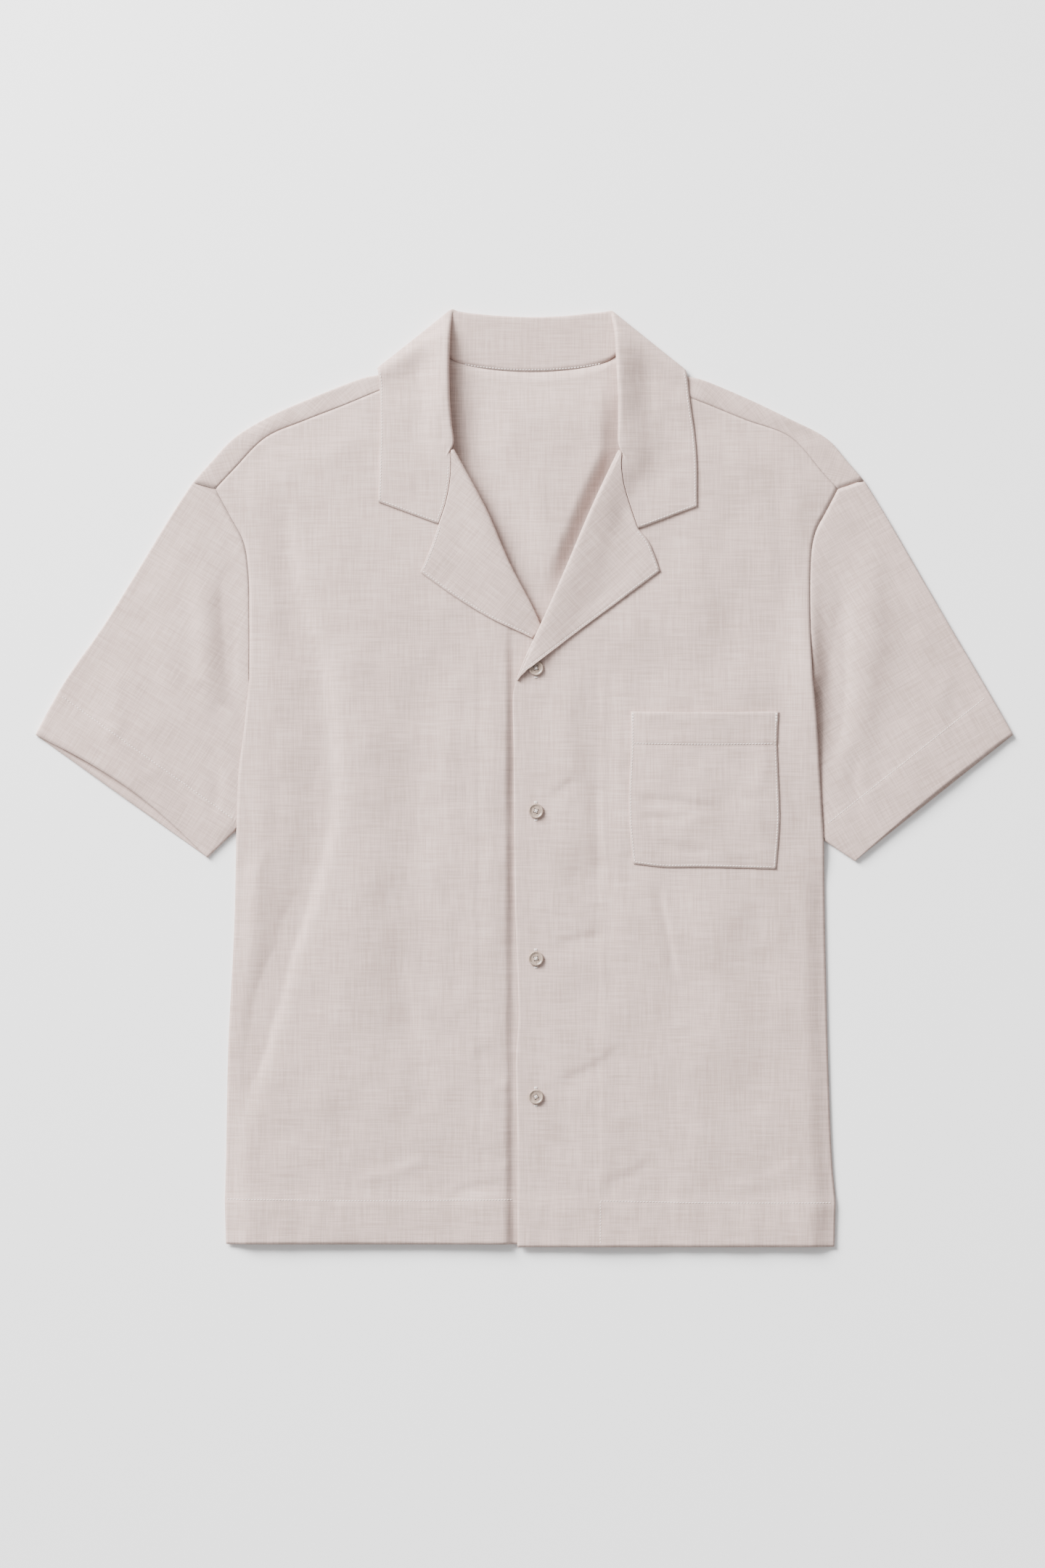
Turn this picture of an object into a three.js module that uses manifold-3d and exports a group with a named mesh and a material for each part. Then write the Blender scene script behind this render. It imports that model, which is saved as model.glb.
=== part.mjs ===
// A short-sleeved button-up shirt with a camp collar, laid flat on its back with the collar open.
// Millimetres. +X is to the viewer's right, +Y runs from the hem to the collar, +Z is up from the surface.
// Each panel is a cut sheet: its seams are curves in plan, its folds lift or turn it, and a wall is
// grown from it on both sides. "right" and "left" are the wearer's, so the right side is at -X.
import * as THREE from "three";
import Module from "manifold-3d";

const wasm = await Module();
wasm.setup();

// Cloth sizes
const CLOTH = 1.0; // wall of a single panel
const HEM_CLOTH = 1.5; // wall where the cloth is turned up and stitched
const COLLAR_CLOTH = 1.2; // wall of the collar, upper and under collar together
const LAPEL_CLOTH = 1.5; // wall of a lapel, the front and the facing cut in one with it
const SEAM_GAP = 0.3; // clearance between neighbouring pieces
const LAID = 0.4; // clearance of a piece that lies on another
const FOLD_HEIGHT = 2.3; // from the lower ply to the upper one across a pressed edge
const SLEEVE_RISE = 0.9; // how far the sleeve's upper ply bellies over its lower one
const FRONT_BELLY = 3.7; // middle of a front's wall over the open body
const HEM_LIFT = 0.7; // how far a front rises over the thicker hems below it
const HEM_DEPTH = 38; // body hem, edge to stitching
const SLEEVE_HEM_DEPTH = 40; // sleeve hem, edge to stitching
const POCKET_HEM_DEPTH = 28; // pocket hem, edge to stitching
const STEP = 1.6; // plan width of the step where a hem's second ply ends
const DRAPE_REACH = 40; // from a roll line to where the cloth turned over it lies flat again

// Places that several pieces share
const HEM_RIGHT_Y = -398; // lower edge of the right front
const HEM_LEFT_Y = -400.4; // lower edge of the left front, which laps over it
const HEM_BACK_Y = -396; // lower edge of the back
const NECK_MIDDLE_X = 6; // middle of the collar
const NECK_BACK_Y = 347; // lowest point of the back neckline
const FALL_EDGE_Y = 340; // outer edge of the collar's fall behind the neck

// Heights of the middle of a front's wall, and where in plan they hold
const SLEEVE_LIFT_Z = 4.5; // where a front lies on its sleeve
const REACH = { armhole: 34, side: 12, shoulder: 40, neck: 34, roll: 48 }; // how far in an edge is felt
const UNDERLAP = { z: 2.2, x: [-36, -14], y: [150, 100] }; // the right front under the left one
const OVERLAP = { z: 4.1, flat: [12, 40], raised: [34, 60], y: [60, 86] }; // the left front over the right
const OVER_COLLAR = { y: [296, 326], right: [-158, -130], left: [172, 144] }; // body over the collar's fall

// Seams and edges of each side in plan. The roll is where the lapel turns over, rollZ the height
// of the front's wall there and rollRadius that of the turn; the gorge is where collar and lapel meet.
const SIDES = {
  right: {
    out: -1,
    shoulderFold: [
      [-283, 253], [-267, 271], [-249, 290], [-220, 308],
      [-177, 327], [-137, 342.2], [-122, 345.4], [-77, 363.5],
    ],
    shoulderSeam: [[-264, 247], [-248, 264], [-221, 291], [-189, 305], [-158, 317], [-124, 331], [-82, 349]],
    armhole: [[-264, 247], [-251, 223], [-240, 202], [-236, 178], [-235, 130], [-235, 85]],
    tuckedArmhole: [[-235, 85], [-229, 50], [-228, 10], [-234, -20], [-246, -44]],
    sideOverSleeve: [[-235, 85], [-240, 38], [-244, 7], [-246, -44]],
    side: [[-246, -44], [-248, -129], [-253, -228], [-255, -327], [-256, -360]],
    hemCorner: [-255, HEM_RIGHT_Y],
    sleeveFold: [[-283, 253], [-302, 224], [-328, 181], [-359, 131], [-393, 82], [-418, 37]],
    cuff: { top: [-418, 37], under: [-271, -68], arch: 9 },
    neckFront: [[-82, 349], [-77, 325], [-71, 300], [-64, 281]],
    neckZ: [4.4, 4.7, 5.4, 6.2],
    roll: [[-60, 281], [-32, 229], [-12, 183], [8, 145], [16, 127]],
    rollZ: [6.2, 5.4, 4.4, 3.2, 2.6],
    rollRadius: [2, 1.9, 1.5, 1, 0.9],
    gorge: [[-63, 279.5], [-62.5, 268], [-63.5, 252], [-67, 235], [-73, 217]],
    lapelTop: [[-73, 217], [-80, 197], [-89, 176]],
    lapelEdge: [[-89, 176], [-61, 156], [-28, 136], [0, 123], [8, 119]],
    frontEdge: [[16, 127], [22, 110], [27, 92], [27, -100], [27, -250], [27, -360]],
  },
  left: {
    out: 1,
    shoulderFold: [
      [290, 255], [276, 271], [259, 290], [225, 308],
      [185, 327], [149, 341.4], [135, 344], [90, 363.5],
    ],
    shoulderSeam: [[268, 247], [256, 260], [228, 291], [189, 306], [162, 317], [140, 326], [97, 349]],
    armhole: [[268, 247], [257, 226], [250, 213], [246, 198], [244, 140], [246, 88]],
    tuckedArmhole: [[246, 88], [241, 50], [240, 0], [245, -30], [256, -53]],
    sideOverSleeve: [[246, 88], [250, 45], [253, -5], [256, -53]],
    side: [[256, -53], [257, -129], [260, -253], [263, -327], [266, -362]],
    hemCorner: [265, HEM_LEFT_Y],
    sleeveFold: [[290, 255], [309, 224], [334, 181], [363, 131], [392, 82], [418, 37]],
    cuff: { top: [418, 37], under: [283, -71], arch: 2 },
    neckFront: [[97, 349], [93, 325], [88, 300], [82, 281]],
    neckZ: [4.4, 4.7, 5.4, 6.4],
    roll: [[80, 280], [57, 231], [34, 177], [14, 132], [1, 104], [-7, 84]],
    rollZ: [6.4, 6.2, 6, 5.9, 5.2, 4.5],
    rollRadius: [2, 1.9, 1.6, 1.3, 1.1, 0.9],
    gorge: [[83, 278.5], [82.5, 267], [85, 250], [90.5, 232], [97, 213]],
    lapelTop: [[97, 213], [106, 202], [116, 177]],
    lapelEdge: [[116, 177], [77, 148], [47, 126], [22, 107], [-2, 89]],
    frontEdge: [[-7, 84], [-9, 76], [-9, 20], [-8, -104], [-5, -203], [-7, -240], [-6, -302], [-6, -362]],
  },
};

// The largest soft folds of the fronts: a line in plan, half width and rise (a trough is negative)
const FRONT_FOLDS = {
  right: [
    {
      line: [[-209, 255], [-200, 169], [-169, 57], [-172, -55], [-200, -141], [-245, -300]],
      width: 17,
      rise: -0.9,
    },
    { line: [[-160, 250], [-140, 90], [-140, -120], [-160, -250]], width: 24, rise: 0.8 },
    { line: [[-222, 120], [-228, -40], [-232, -180]], width: 12, rise: 0.5 },
    { line: [[-85, 120], [-95, -80], [-70, -260]], width: 22, rise: -0.5 },
    { line: [[-40, 60], [-38, -150], [-30, -330]], width: 14, rise: 0.4 },
  ],
  left: [
    { line: [[215, 280], [222, 160], [228, 20], [232, -120]], width: 14, rise: -0.6 },
    { line: [[170, 250], [150, 120], [160, -120], [180, -280]], width: 26, rise: 0.6 },
    { line: [[30, -90], [60, -75], [110, -60]], width: 12, rise: -0.5 },
    { line: [[35, -190], [60, -175], [95, -150]], width: 12, rise: -0.5 },
    { line: [[70, 110], [66, -60], [68, -200]], width: 12, rise: -0.5 },
  ],
};

// Collar sections from the tip of the right point round the neck to the tip of the left one.
// seam is where it is sewn on, roll the apex of its turn, edge its free edge. turn is the way the
// stand lies off the fall: above it at 90, inside it at 0, below it at -90. Without a radius the
// section is past the end of the stand, beside the lapel. rests is how far the fall lies on the front.
const COLLAR_SECTIONS = [
  [[-73.4, 217.2, 5], [-79, 219, 5], [-125, 236, 5], -90, 0, 1],
  [[-67.5, 235, 6], [-73, 237, 6], [-124.5, 255, 5], -90, 0, 1],
  [[-64, 252, 8], [-70, 254, 8], [-124, 276, 5], -90, 0, 1],
  [[-63, 268, 10], [-69, 271, 10], [-123.5, 296, 5], -90, 0, 1],
  [[-64.2, 284, 7.8], [-60.5, 285, 9.2], [-123.5, 309, 5], -90, 0.9, 1],
  [[-70, 302, 7], [-62, 303, 9], [-123.5, 320, 5], -90, 1.7, 1],
  [[-76, 322, 6.4], [-63.5, 326, 9.8], [-123.5, 329, 5], -88, 2.1, 1],
  [[-80, 342, 6], [-64, 352, 9.6], [-123.8, 337, 6], -80, 2.1, 1],
  [[-80, 356, 6], [-63.5, 376, 8], [-124.4, 343, 6.4], -65, 1.9, 0.5],
  [[-78, 365.5, 6], [-62.5, 391, 6], [-125, 348, 5.6], -40, 1.6, 0],
  [[-72.5, 368, 4.6], [-61, 399.9, 3.6], [-124.8, 350, 3], 0, 1.4, 0],
  [[-66, 361, 3], [-56, 398.8, 2.3], [-118, 345, 0.6], 55, 1.4, 0],
  [[-55, 354.6, 2.2], [-43, 397, 2], [-84, FALL_EDGE_Y, 0.6], 85, 1.4, 0],
  [[-28, 349, 2], [-21, 395, 2], [-40, FALL_EDGE_Y, 0.6], 90, 1.4, 0],
  [[NECK_MIDDLE_X, NECK_BACK_Y, 2], [NECK_MIDDLE_X, 394, 2], [NECK_MIDDLE_X, FALL_EDGE_Y, 0.6], 90, 1.4, 0],
  [[40, 349, 2], [35, 395, 2], [52, FALL_EDGE_Y, 0.6], 90, 1.4, 0],
  [[67, 354.6, 2.2], [55, 397, 2], [96, FALL_EDGE_Y, 0.6], 85, 1.4, 0],
  [[78.5, 361, 3], [68, 398.2, 2.3], [131, 344, 0.6], 55, 1.4, 0],
  [[85.5, 368, 4.6], [73.6, 398.4, 3.6], [137, 348.6, 3], 0, 1.4, 0],
  [[92, 365.5, 6], [75.5, 391, 6], [138.5, 345.6, 5.6], -40, 1.6, 0],
  [[95, 356, 6], [77.5, 376, 8], [139.5, 340, 6.4], -65, 1.9, 0.5],
  [[95, 342, 6], [78.5, 352, 9.6], [140.5, 331, 6], -80, 2.1, 1],
  [[92, 322, 6.4], [79.8, 326, 9.8], [142.5, 315, 5], -88, 2.1, 1],
  [[87, 302, 7], [80, 303, 9], [145, 298, 5], -90, 1.7, 1],
  [[84.2, 283, 7.8], [80.5, 284, 9.2], [146.5, 282, 5], -90, 0.9, 1],
  [[83, 267, 10], [89, 269, 10], [147.3, 270, 5], -90, 0, 1],
  [[85.5, 250, 8], [91.5, 252, 8], [147.5, 258, 5], -90, 0, 1],
  [[91, 232, 6], [97, 234, 6], [147.5, 245, 5], -90, 0, 1],
  [[97.4, 213.2, 5], [103, 215, 5], [147.5, 232, 5], -90, 0, 1],
].map(([seam, roll, edge, turn, radius, rests]) => ({ seam, roll, edge, turn, radius, rests }));

// The chest pocket on the left front, in plan
const POCKET = {
  top: [[91, 57], [154, 56.5], [217, 57]],
  bottom: [[93, -73], [120, -76], [151, -76], [215, -77.5]],
  left: [[93, -73], [90, -45], [89, -20], [91, 29], [91, 57]],
  right: [[215, -77.5], [218, -37], [217, 0], [216, 29], [217, 57]],
};

// Buttons down the middle of the front
const BUTTON = {
  radius: 6.35, height: 2.2, rim: 1.3, dish: 0.6, edge: 0.5, holeRadius: 0.85, holeOffset: 1.3,
};
const BUTTON_X = 10;
const BUTTON_YS = [94, -28, -154, -272];
const BUTTON_SEAT = { radius: 12, press: 0.4 }; // the cloth is drawn down round each button
const OVER_BUTTON = { radius: 14, rise: 2.6 }; // the lapel rises over the edge of the top button

const COLOURS = { cloth: 0xcfc6c1, button: 0xb9aea4 };

// Numbers of steps along edges, so that both sides of a seam have the same points
const COUNT = {
  shoulder: 9, armhole: 7, tuck: 5, side: 8, neckFront: 3, gorge: 4, lapelTop: 2, lapelEdge: 6,
  turn: 4, lapel: 5, stand: 3, fall: 6, sleeve: 8, pocket: 8, button: 24, hole: 8,
};
COUNT.roll = COUNT.gorge + COUNT.lapelTop + COUNT.lapelEdge;

// Rises from 0 at a to 1 at b with a smooth start and end; b may be below a.
const smooth = (a, b, x) => THREE.MathUtils.smoothstep((x - a) / (b - a), 0, 1);
const mix = THREE.MathUtils.lerp;
const bell = (distance, radius) => Math.exp(-((distance / radius) ** 2));
const vector = ([x, y, z = 0]) => new THREE.Vector3(x, y, z);
const plan = (p) => [p.x, p.y];
const last = (list) => list[list.length - 1];
const reversed = (list) => [...list].reverse();

// Several stretches end to end, sharing their corners.
const chain = (...stretches) => stretches.flatMap((s, i) => (i ? s.slice(1) : s));

// A smooth curve through plan points, cut into equal steps.
function steps(points, count) {
  if (points.length === 2) {
    const [a, b] = points.map(vector);
    return Array.from({ length: count + 1 }, (_, i) => a.clone().lerp(b, i / count));
  }
  return new THREE.CatmullRomCurve3(points.map(vector), false, "centripetal").getSpacedPoints(count);
}

// Directions in plan square to a path, to the left of the way it runs or (with -1) to the right.
function sideways(path, sign = 1) {
  return path.map((_, i) => {
    const along = path[Math.min(i + 1, path.length - 1)].clone().sub(path[Math.max(i - 1, 0)]);
    return new THREE.Vector3(-along.y, along.x, 0).normalize().multiplyScalar(sign);
  });
}

// The same path moved along given directions, by one distance or by one for each point.
const moved = (path, directions, distance) =>
  path.map((p, i) =>
    p.clone().addScaledVector(directions[i], Array.isArray(distance) ? distance[i] : distance),
  );

// A seam's points moved off it: towards the body, or with a negative distance towards the sleeve.
const bodyward = (path, out, distance) =>
  path.map((p) => new THREE.Vector3(p.x - out * distance, p.y + distance, p.z));

// How far a place lies from a line in plan, and how far along the line (0 to 1) the nearest point is.
function nearest(line, x, y) {
  let best = { distance: Infinity, at: 0 };
  for (let i = 0; i < line.length - 1; i++) {
    const [ax, ay] = line[i];
    const [bx, by] = line[i + 1];
    const length2 = (bx - ax) ** 2 + (by - ay) ** 2;
    const t = THREE.MathUtils.clamp(((x - ax) * (bx - ax) + (y - ay) * (by - ay)) / length2, 0, 1);
    const distance = Math.hypot(x - mix(ax, bx, t), y - mix(ay, by, t));
    if (distance < best.distance) best = { distance, at: (i + t) / (line.length - 1) };
  }
  return best;
}

// A value read along a table of equal steps.
function readAlong(values, at) {
  const f = at * (values.length - 1);
  const i = Math.min(Math.floor(f), values.length - 2);
  return mix(values[i], values[i + 1], f - i);
}

// The share of its own length that a path has run at each of its points.
function runShare(path) {
  const run = [0];
  for (let i = 1; i < path.length; i++) run.push(run[i - 1] + path[i].distanceTo(path[i - 1]));
  return run.map((r) => r / last(run));
}

// A flat sheet of points stretched over four edges: bottom and top run one way, left and right the other.
function sheetOver({ bottom, top, left, right }) {
  const share = (a, b) => runShare(a).map((r, i) => (r + runShare(b)[i]) / 2);
  const across = share(bottom, top);
  return share(left, right).map((t, j) =>
    across.map((s, i) => {
      const value = (key) =>
        mix(bottom[i][key], top[i][key], t) + mix(left[j][key], right[j][key], s) -
        mix(mix(bottom[0][key], last(bottom)[key], s), mix(top[0][key], last(top)[key], s), t);
      return new THREE.Vector3(value("x"), value("y"), 0);
    }),
  );
}

// Places a flat grid on a height function.
const raised = (grid, heightAt) =>
  grid.map((row) => row.map((p) => new THREE.Vector3(p.x, p.y, heightAt(p.x, p.y))));

// Height of a grid's own facets over a place in plan, or of its nearest point beyond its edges.
function heightOn(grid, x, y) {
  let closest = { distance: Infinity, z: 0 };
  for (let j = 0; j < grid.length - 1; j++) {
    for (let i = 0; i < grid[j].length - 1; i++) {
      const [a, b, c, d] = [grid[j][i], grid[j][i + 1], grid[j + 1][i + 1], grid[j + 1][i]];
      for (const [p, q, r] of [[a, b, c], [a, c, d]]) {
        const area = (q.x - p.x) * (r.y - p.y) - (r.x - p.x) * (q.y - p.y);
        const v = ((x - p.x) * (r.y - p.y) - (r.x - p.x) * (y - p.y)) / area;
        const w = ((q.x - p.x) * (y - p.y) - (x - p.x) * (q.y - p.y)) / area;
        if (v >= 0 && w >= 0 && v + w <= 1) return p.z + v * (q.z - p.z) + w * (r.z - p.z);
      }
      for (const p of [a, b, c, d]) {
        const distance = Math.hypot(x - p.x, y - p.y);
        if (distance < closest.distance) closest = { distance, z: p.z };
      }
    }
  }
  return closest.z;
}

// A closed wall grown on both sides of sheets of points that share their edges.
function wall(sheets) {
  const keys = new Map();
  const points = [];
  const halves = [];
  const triangles = [];
  for (const { grid, cloth } of sheets) {
    const indexOf = (p) => {
      const key = p.toArray().map((v) => Math.round(v * 1000)).join();
      if (!keys.has(key)) {
        keys.set(key, points.push(p) - 1);
        halves.push((typeof cloth === "function" ? cloth(p) : cloth) / 2);
      }
      return keys.get(key);
    };
    for (let j = 0; j < grid.length - 1; j++) {
      for (let i = 0; i < grid[j].length - 1; i++) {
        const [a, b, c, d] = [grid[j][i], grid[j][i + 1], grid[j + 1][i + 1], grid[j + 1][i]].map(indexOf);
        triangles.push(...[[a, b, c], [a, c, d]].filter((t) => new Set(t).size === 3));
      }
    }
  }
  const normals = points.map(() => new THREE.Vector3());
  for (const t of triangles) {
    const [a, b, c] = t.map((k) => points[k]);
    const normal = b.clone().sub(a).cross(c.clone().sub(a)).normalize();
    const corners = [[a, b, c], [b, c, a], [c, a, b]];
    corners.forEach(([p, q, r], n) => {
      normals[t[n]].addScaledVector(normal, q.clone().sub(p).angleTo(r.clone().sub(p)));
    });
  }
  const count = points.length;
  const upper = points.map((p, k) => p.clone().addScaledVector(normals[k].normalize(), halves[k]));
  const lower = points.map((p, k) => p.clone().addScaledVector(normals[k], -halves[k]));
  const edges = new Set(triangles.flatMap(([a, b, c]) => [`${a},${b}`, `${b},${c}`, `${c},${a}`]));
  const index = [];
  for (const [a, b, c] of triangles) {
    index.push(a, b, c, count + a, count + c, count + b);
    for (const [p, q] of [[a, b], [b, c], [c, a]]) {
      if (!edges.has(`${q},${p}`)) index.push(p, count + p, q, q, count + p, count + q);
    }
  }
  const geometry = new THREE.BufferGeometry().setFromPoints([...upper, ...lower]);
  geometry.setIndex(index);
  geometry.computeVertexNormals();
  return geometry;
}

// A named mesh with its own finish.
function piece(name, geometry, color = COLOURS.cloth, roughness = 0.9) {
  const mesh = new THREE.Mesh(geometry, new THREE.MeshStandardMaterial({ color, roughness, metalness: 0 }));
  mesh.name = name;
  return mesh;
}

// How far the body is lifted over the collar's fall, which lies under it behind the neck.
function neckLift(x, y) {
  const { y: y0, right, left } = OVER_COLLAR;
  return (COLLAR_CLOTH + SEAM_GAP) * smooth(...y0, y) * smooth(...right, x) * smooth(...left, x);
}

// Middle of the back's wall.
const backZ = (x, y, cloth = CLOTH) => cloth / 2 + neckLift(x, y);

// How much of the rise over a hem a place has.
const overHem = (s, y) => HEM_LIFT * smooth(s.hemCorner[1] + HEM_DEPTH + 8, s.hemCorner[1] + HEM_DEPTH, y);

// Middle of a front's wall.
function frontZ(name, x, y) {
  const s = SIDES[name];
  const shoulder = CLOTH / 2 + FOLD_HEIGHT + neckLift(x, y);
  const fromSeam = nearest(s.shoulderSeam, x, y).distance;
  const fromEdge = nearest(chain(s.armhole, s.sideOverSleeve, s.side, [null, s.hemCorner]), x, y).distance;
  let z = FRONT_BELLY + neckLift(x, y);
  for (const fold of FRONT_FOLDS[name]) {
    const near = nearest(fold.line, x, y);
    z += fold.rise * smooth(0, 0.12, near.at) * smooth(1, 0.88, near.at) * bell(near.distance, fold.width);
  }
  // Its outer edge meets the sleeve, then lies over it, then meets the back.
  const overSleeve = smooth(s.sideOverSleeve[0][1] + 40, s.sideOverSleeve[0][1], y);
  const belowSleeve = smooth(s.side[0][1] - 4, s.side[0][1] - 40, y);
  const besideSleeve = mix(CLOTH / 2 + FOLD_HEIGHT, SLEEVE_LIFT_Z, overSleeve);
  const atEdge = mix(besideSleeve, CLOTH * 1.5 + LAID, belowSleeve);
  z = mix(atEdge, z, smooth(0, mix(REACH.armhole, REACH.side, belowSleeve), fromEdge));
  z = mix(shoulder, z, smooth(0, REACH.shoulder, fromSeam));
  // At the neck it climbs to the collar, and to the line where the lapel turns over.
  const neck = nearest(s.neckFront, x, y);
  z = mix(readAlong(s.neckZ, neck.at), z, smooth(0, REACH.neck, neck.distance));
  const roll = nearest(s.roll, x, y);
  z = mix(readAlong(s.rollZ, roll.at), z, smooth(0, REACH.roll, roll.distance));
  return (name === "right" ? underlapZ(x, y, z) : placketZ(x, y, z)) + overHem(s, y);
}

// The right front's hidden edge lies low under the left one.
const underlapZ = (x, y, z) => mix(z, UNDERLAP.z, smooth(...UNDERLAP.x, x) * smooth(...UNDERLAP.y, y));

// The left front's edge lies over it, and is drawn down round the buttons.
function placketZ(x, y, z) {
  const lifted = mix(Math.max(z, OVERLAP.z), z, smooth(...OVERLAP.raised, x));
  const level = mix(OVERLAP.z, lifted, smooth(...OVERLAP.flat, x));
  const seats = BUTTON_YS.map((seat) => bell(Math.hypot(x - BUTTON_X, y - seat), BUTTON_SEAT.radius));
  return mix(level, lifted, smooth(...OVERLAP.y, y)) - BUTTON_SEAT.press * Math.max(...seats);
}

// Cloth carried half round a pressed edge, from one ply to the other above it.
function turnOver(lower, upper, outward) {
  const middle = lower.clone().lerp(upper, 0.5);
  const half = (upper.z - lower.z) / 2;
  return Array.from({ length: COUNT.turn - 1 }, (_, k) => {
    const angle = (Math.PI * (k + 1)) / COUNT.turn - Math.PI / 2;
    const turned = middle.clone().addScaledVector(outward, half * Math.cos(angle));
    return turned.setZ(middle.z + half * Math.sin(angle));
  });
}

// Turns a list of columns into rows.
const rowsOf = (columns) => columns[0].map((_, j) => columns.map((column) => column[j]));

// The body's outer edge in plan from the hem up to the end of the shoulder seam.
function bodyEdge(s, hemY) {
  const hemTop = [last(s.side)[0], hemY + HEM_DEPTH];
  const hemStep = [last(s.side)[0], hemY + HEM_DEPTH - STEP];
  const edge = chain(
    steps([[s.hemCorner[0], hemY], hemStep], 1),
    steps([hemStep, hemTop], 1),
    steps(reversed([...s.side.slice(0, -1), hemTop]), COUNT.side),
    steps(reversed(s.sideOverSleeve), COUNT.tuck),
    steps(reversed(s.armhole), COUNT.armhole),
  );
  return bodyward(edge, s.out, SEAM_GAP / 2);
}

// The back in one piece; its shoulders come forward over their folds to meet the fronts.
function back() {
  const inset = (FOLD_HEIGHT + CLOTH) / 2;
  const sides = Object.values(SIDES).map((s) => {
    const fold = steps(s.shoulderFold, COUNT.shoulder);
    const outward = sideways(fold, -s.out);
    const inner = moved(fold, outward, -inset);
    inner[0] = bodyward(inner, s.out, SEAM_GAP / 2)[0];
    return { s, outward, inner, edge: [...bodyEdge(s, HEM_BACK_Y), inner[0]] };
  });
  const [right, left] = sides;
  const sewn = COLLAR_SECTIONS.filter((c) => c.turn > 0);
  const neckline = sewn.map((c) => new THREE.Vector3(c.seam[0], c.seam[1] - SEAM_GAP, 0));
  const top = [...right.inner, ...neckline, ...reversed(left.inner)];
  const bottom = steps([plan(right.edge[0]), plan(left.edge[0])], top.length - 1);
  const cloth = (p) => (p.y < HEM_BACK_Y + HEM_DEPTH - STEP / 2 ? HEM_CLOTH : CLOTH);
  const flat = sheetOver({ bottom, top, left: right.edge, right: left.edge });
  const main = flat.map((row) => row.map((p) => new THREE.Vector3(p.x, p.y, backZ(p.x, p.y, cloth(p)))));
  const strips = sides.map(({ s, outward, inner }) => {
    const seamLine = steps(s.shoulderSeam, COUNT.shoulder);
    const seam = moved(seamLine, sideways(seamLine, -s.out), SEAM_GAP / 2);
    const fold = s.out < 0 ? last(main) : reversed(last(main));
    const columns = inner.map((_, i) => {
      const lower = fold[i];
      const upper = lower.clone().setZ(lower.z + FOLD_HEIGHT);
      const end = new THREE.Vector3(seam[i].x, seam[i].y, backZ(seam[i].x, seam[i].y) + FOLD_HEIGHT);
      return [lower, ...turnOver(lower, upper, outward[i]), upper, upper.clone().lerp(end, 0.5), end];
    });
    return { grid: rowsOf(s.out < 0 ? columns : reversed(columns)), cloth: CLOTH };
  });
  return piece("back", wall([{ grid: main, cloth }, ...strips]));
}

// A front's points, from its hem up to its shoulder seam, neckline and lapel's roll.
function frontGrid(name) {
  const s = SIDES[name];
  const hemY = s.hemCorner[1];
  const rollLine = steps(s.roll, COUNT.roll);
  const inset = rollLine.map((_, i) => -readAlong(s.rollRadius, i / COUNT.roll) - LAPEL_CLOTH / 2);
  const roll = moved(rollLine, sideways(rollLine, -s.out), inset);
  const seamLine = steps(s.shoulderSeam, COUNT.shoulder);
  const seam = moved(seamLine, sideways(seamLine, s.out), SEAM_GAP / 2);
  const neck = steps([plan(last(seam)), ...s.neckFront.slice(1, -1), plan(roll[0])], COUNT.neckFront);
  const top = chain(seam, neck, roll);
  const outer = [...bodyEdge(s, hemY).slice(0, -1), top[0]];
  const foot = last(s.frontEdge)[0];
  const hemTop = hemY + HEM_DEPTH;
  const edgeLine = [plan(last(roll)), ...s.frontEdge.slice(1, -1), [foot, hemTop]];
  const edge = [
    vector([foot, hemY]),
    vector([foot, hemTop - STEP]),
    ...reversed(steps(edgeLine, outer.length - 3)),
  ];
  const bottom = steps([plan(outer[0]), [foot, hemY]], top.length - 1);
  return raised(sheetOver({ bottom, top, left: outer, right: edge }), (x, y) => frontZ(name, x, y));
}

// The line on one side where collar and lapel turn over, with the height on top of the turn.
function turnLine(name) {
  const s = SIDES[name];
  const own = COLLAR_SECTIONS.filter((c) => c.radius && c.turn < 0 && Math.sign(c.roll[0]) === s.out);
  const collarPart = own.map((c) => [c.roll[0], c.roll[1], c.roll[2] + c.radius]);
  const lapelPart = s.roll.map(([x, y], i) => [x, y, s.rollZ[i] + 2 * s.rollRadius[i]]);
  return [...(s.out < 0 ? reversed(collarPart) : collarPart), ...lapelPart];
}

// Middle of the wall of cloth that is turned over that line and comes to lie on a front.
function drapedZ(name, grid, cloth, x, y) {
  const line = turnLine(name);
  const turn = nearest(line, x, y);
  const top = readAlong(line.map((p) => p[2]), turn.at);
  const bed = heightOn(grid, x, y) + (CLOTH + cloth) / 2 + LAID;
  return mix(Math.max(top, bed), bed, smooth(0, DRAPE_REACH, turn.distance));
}

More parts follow.
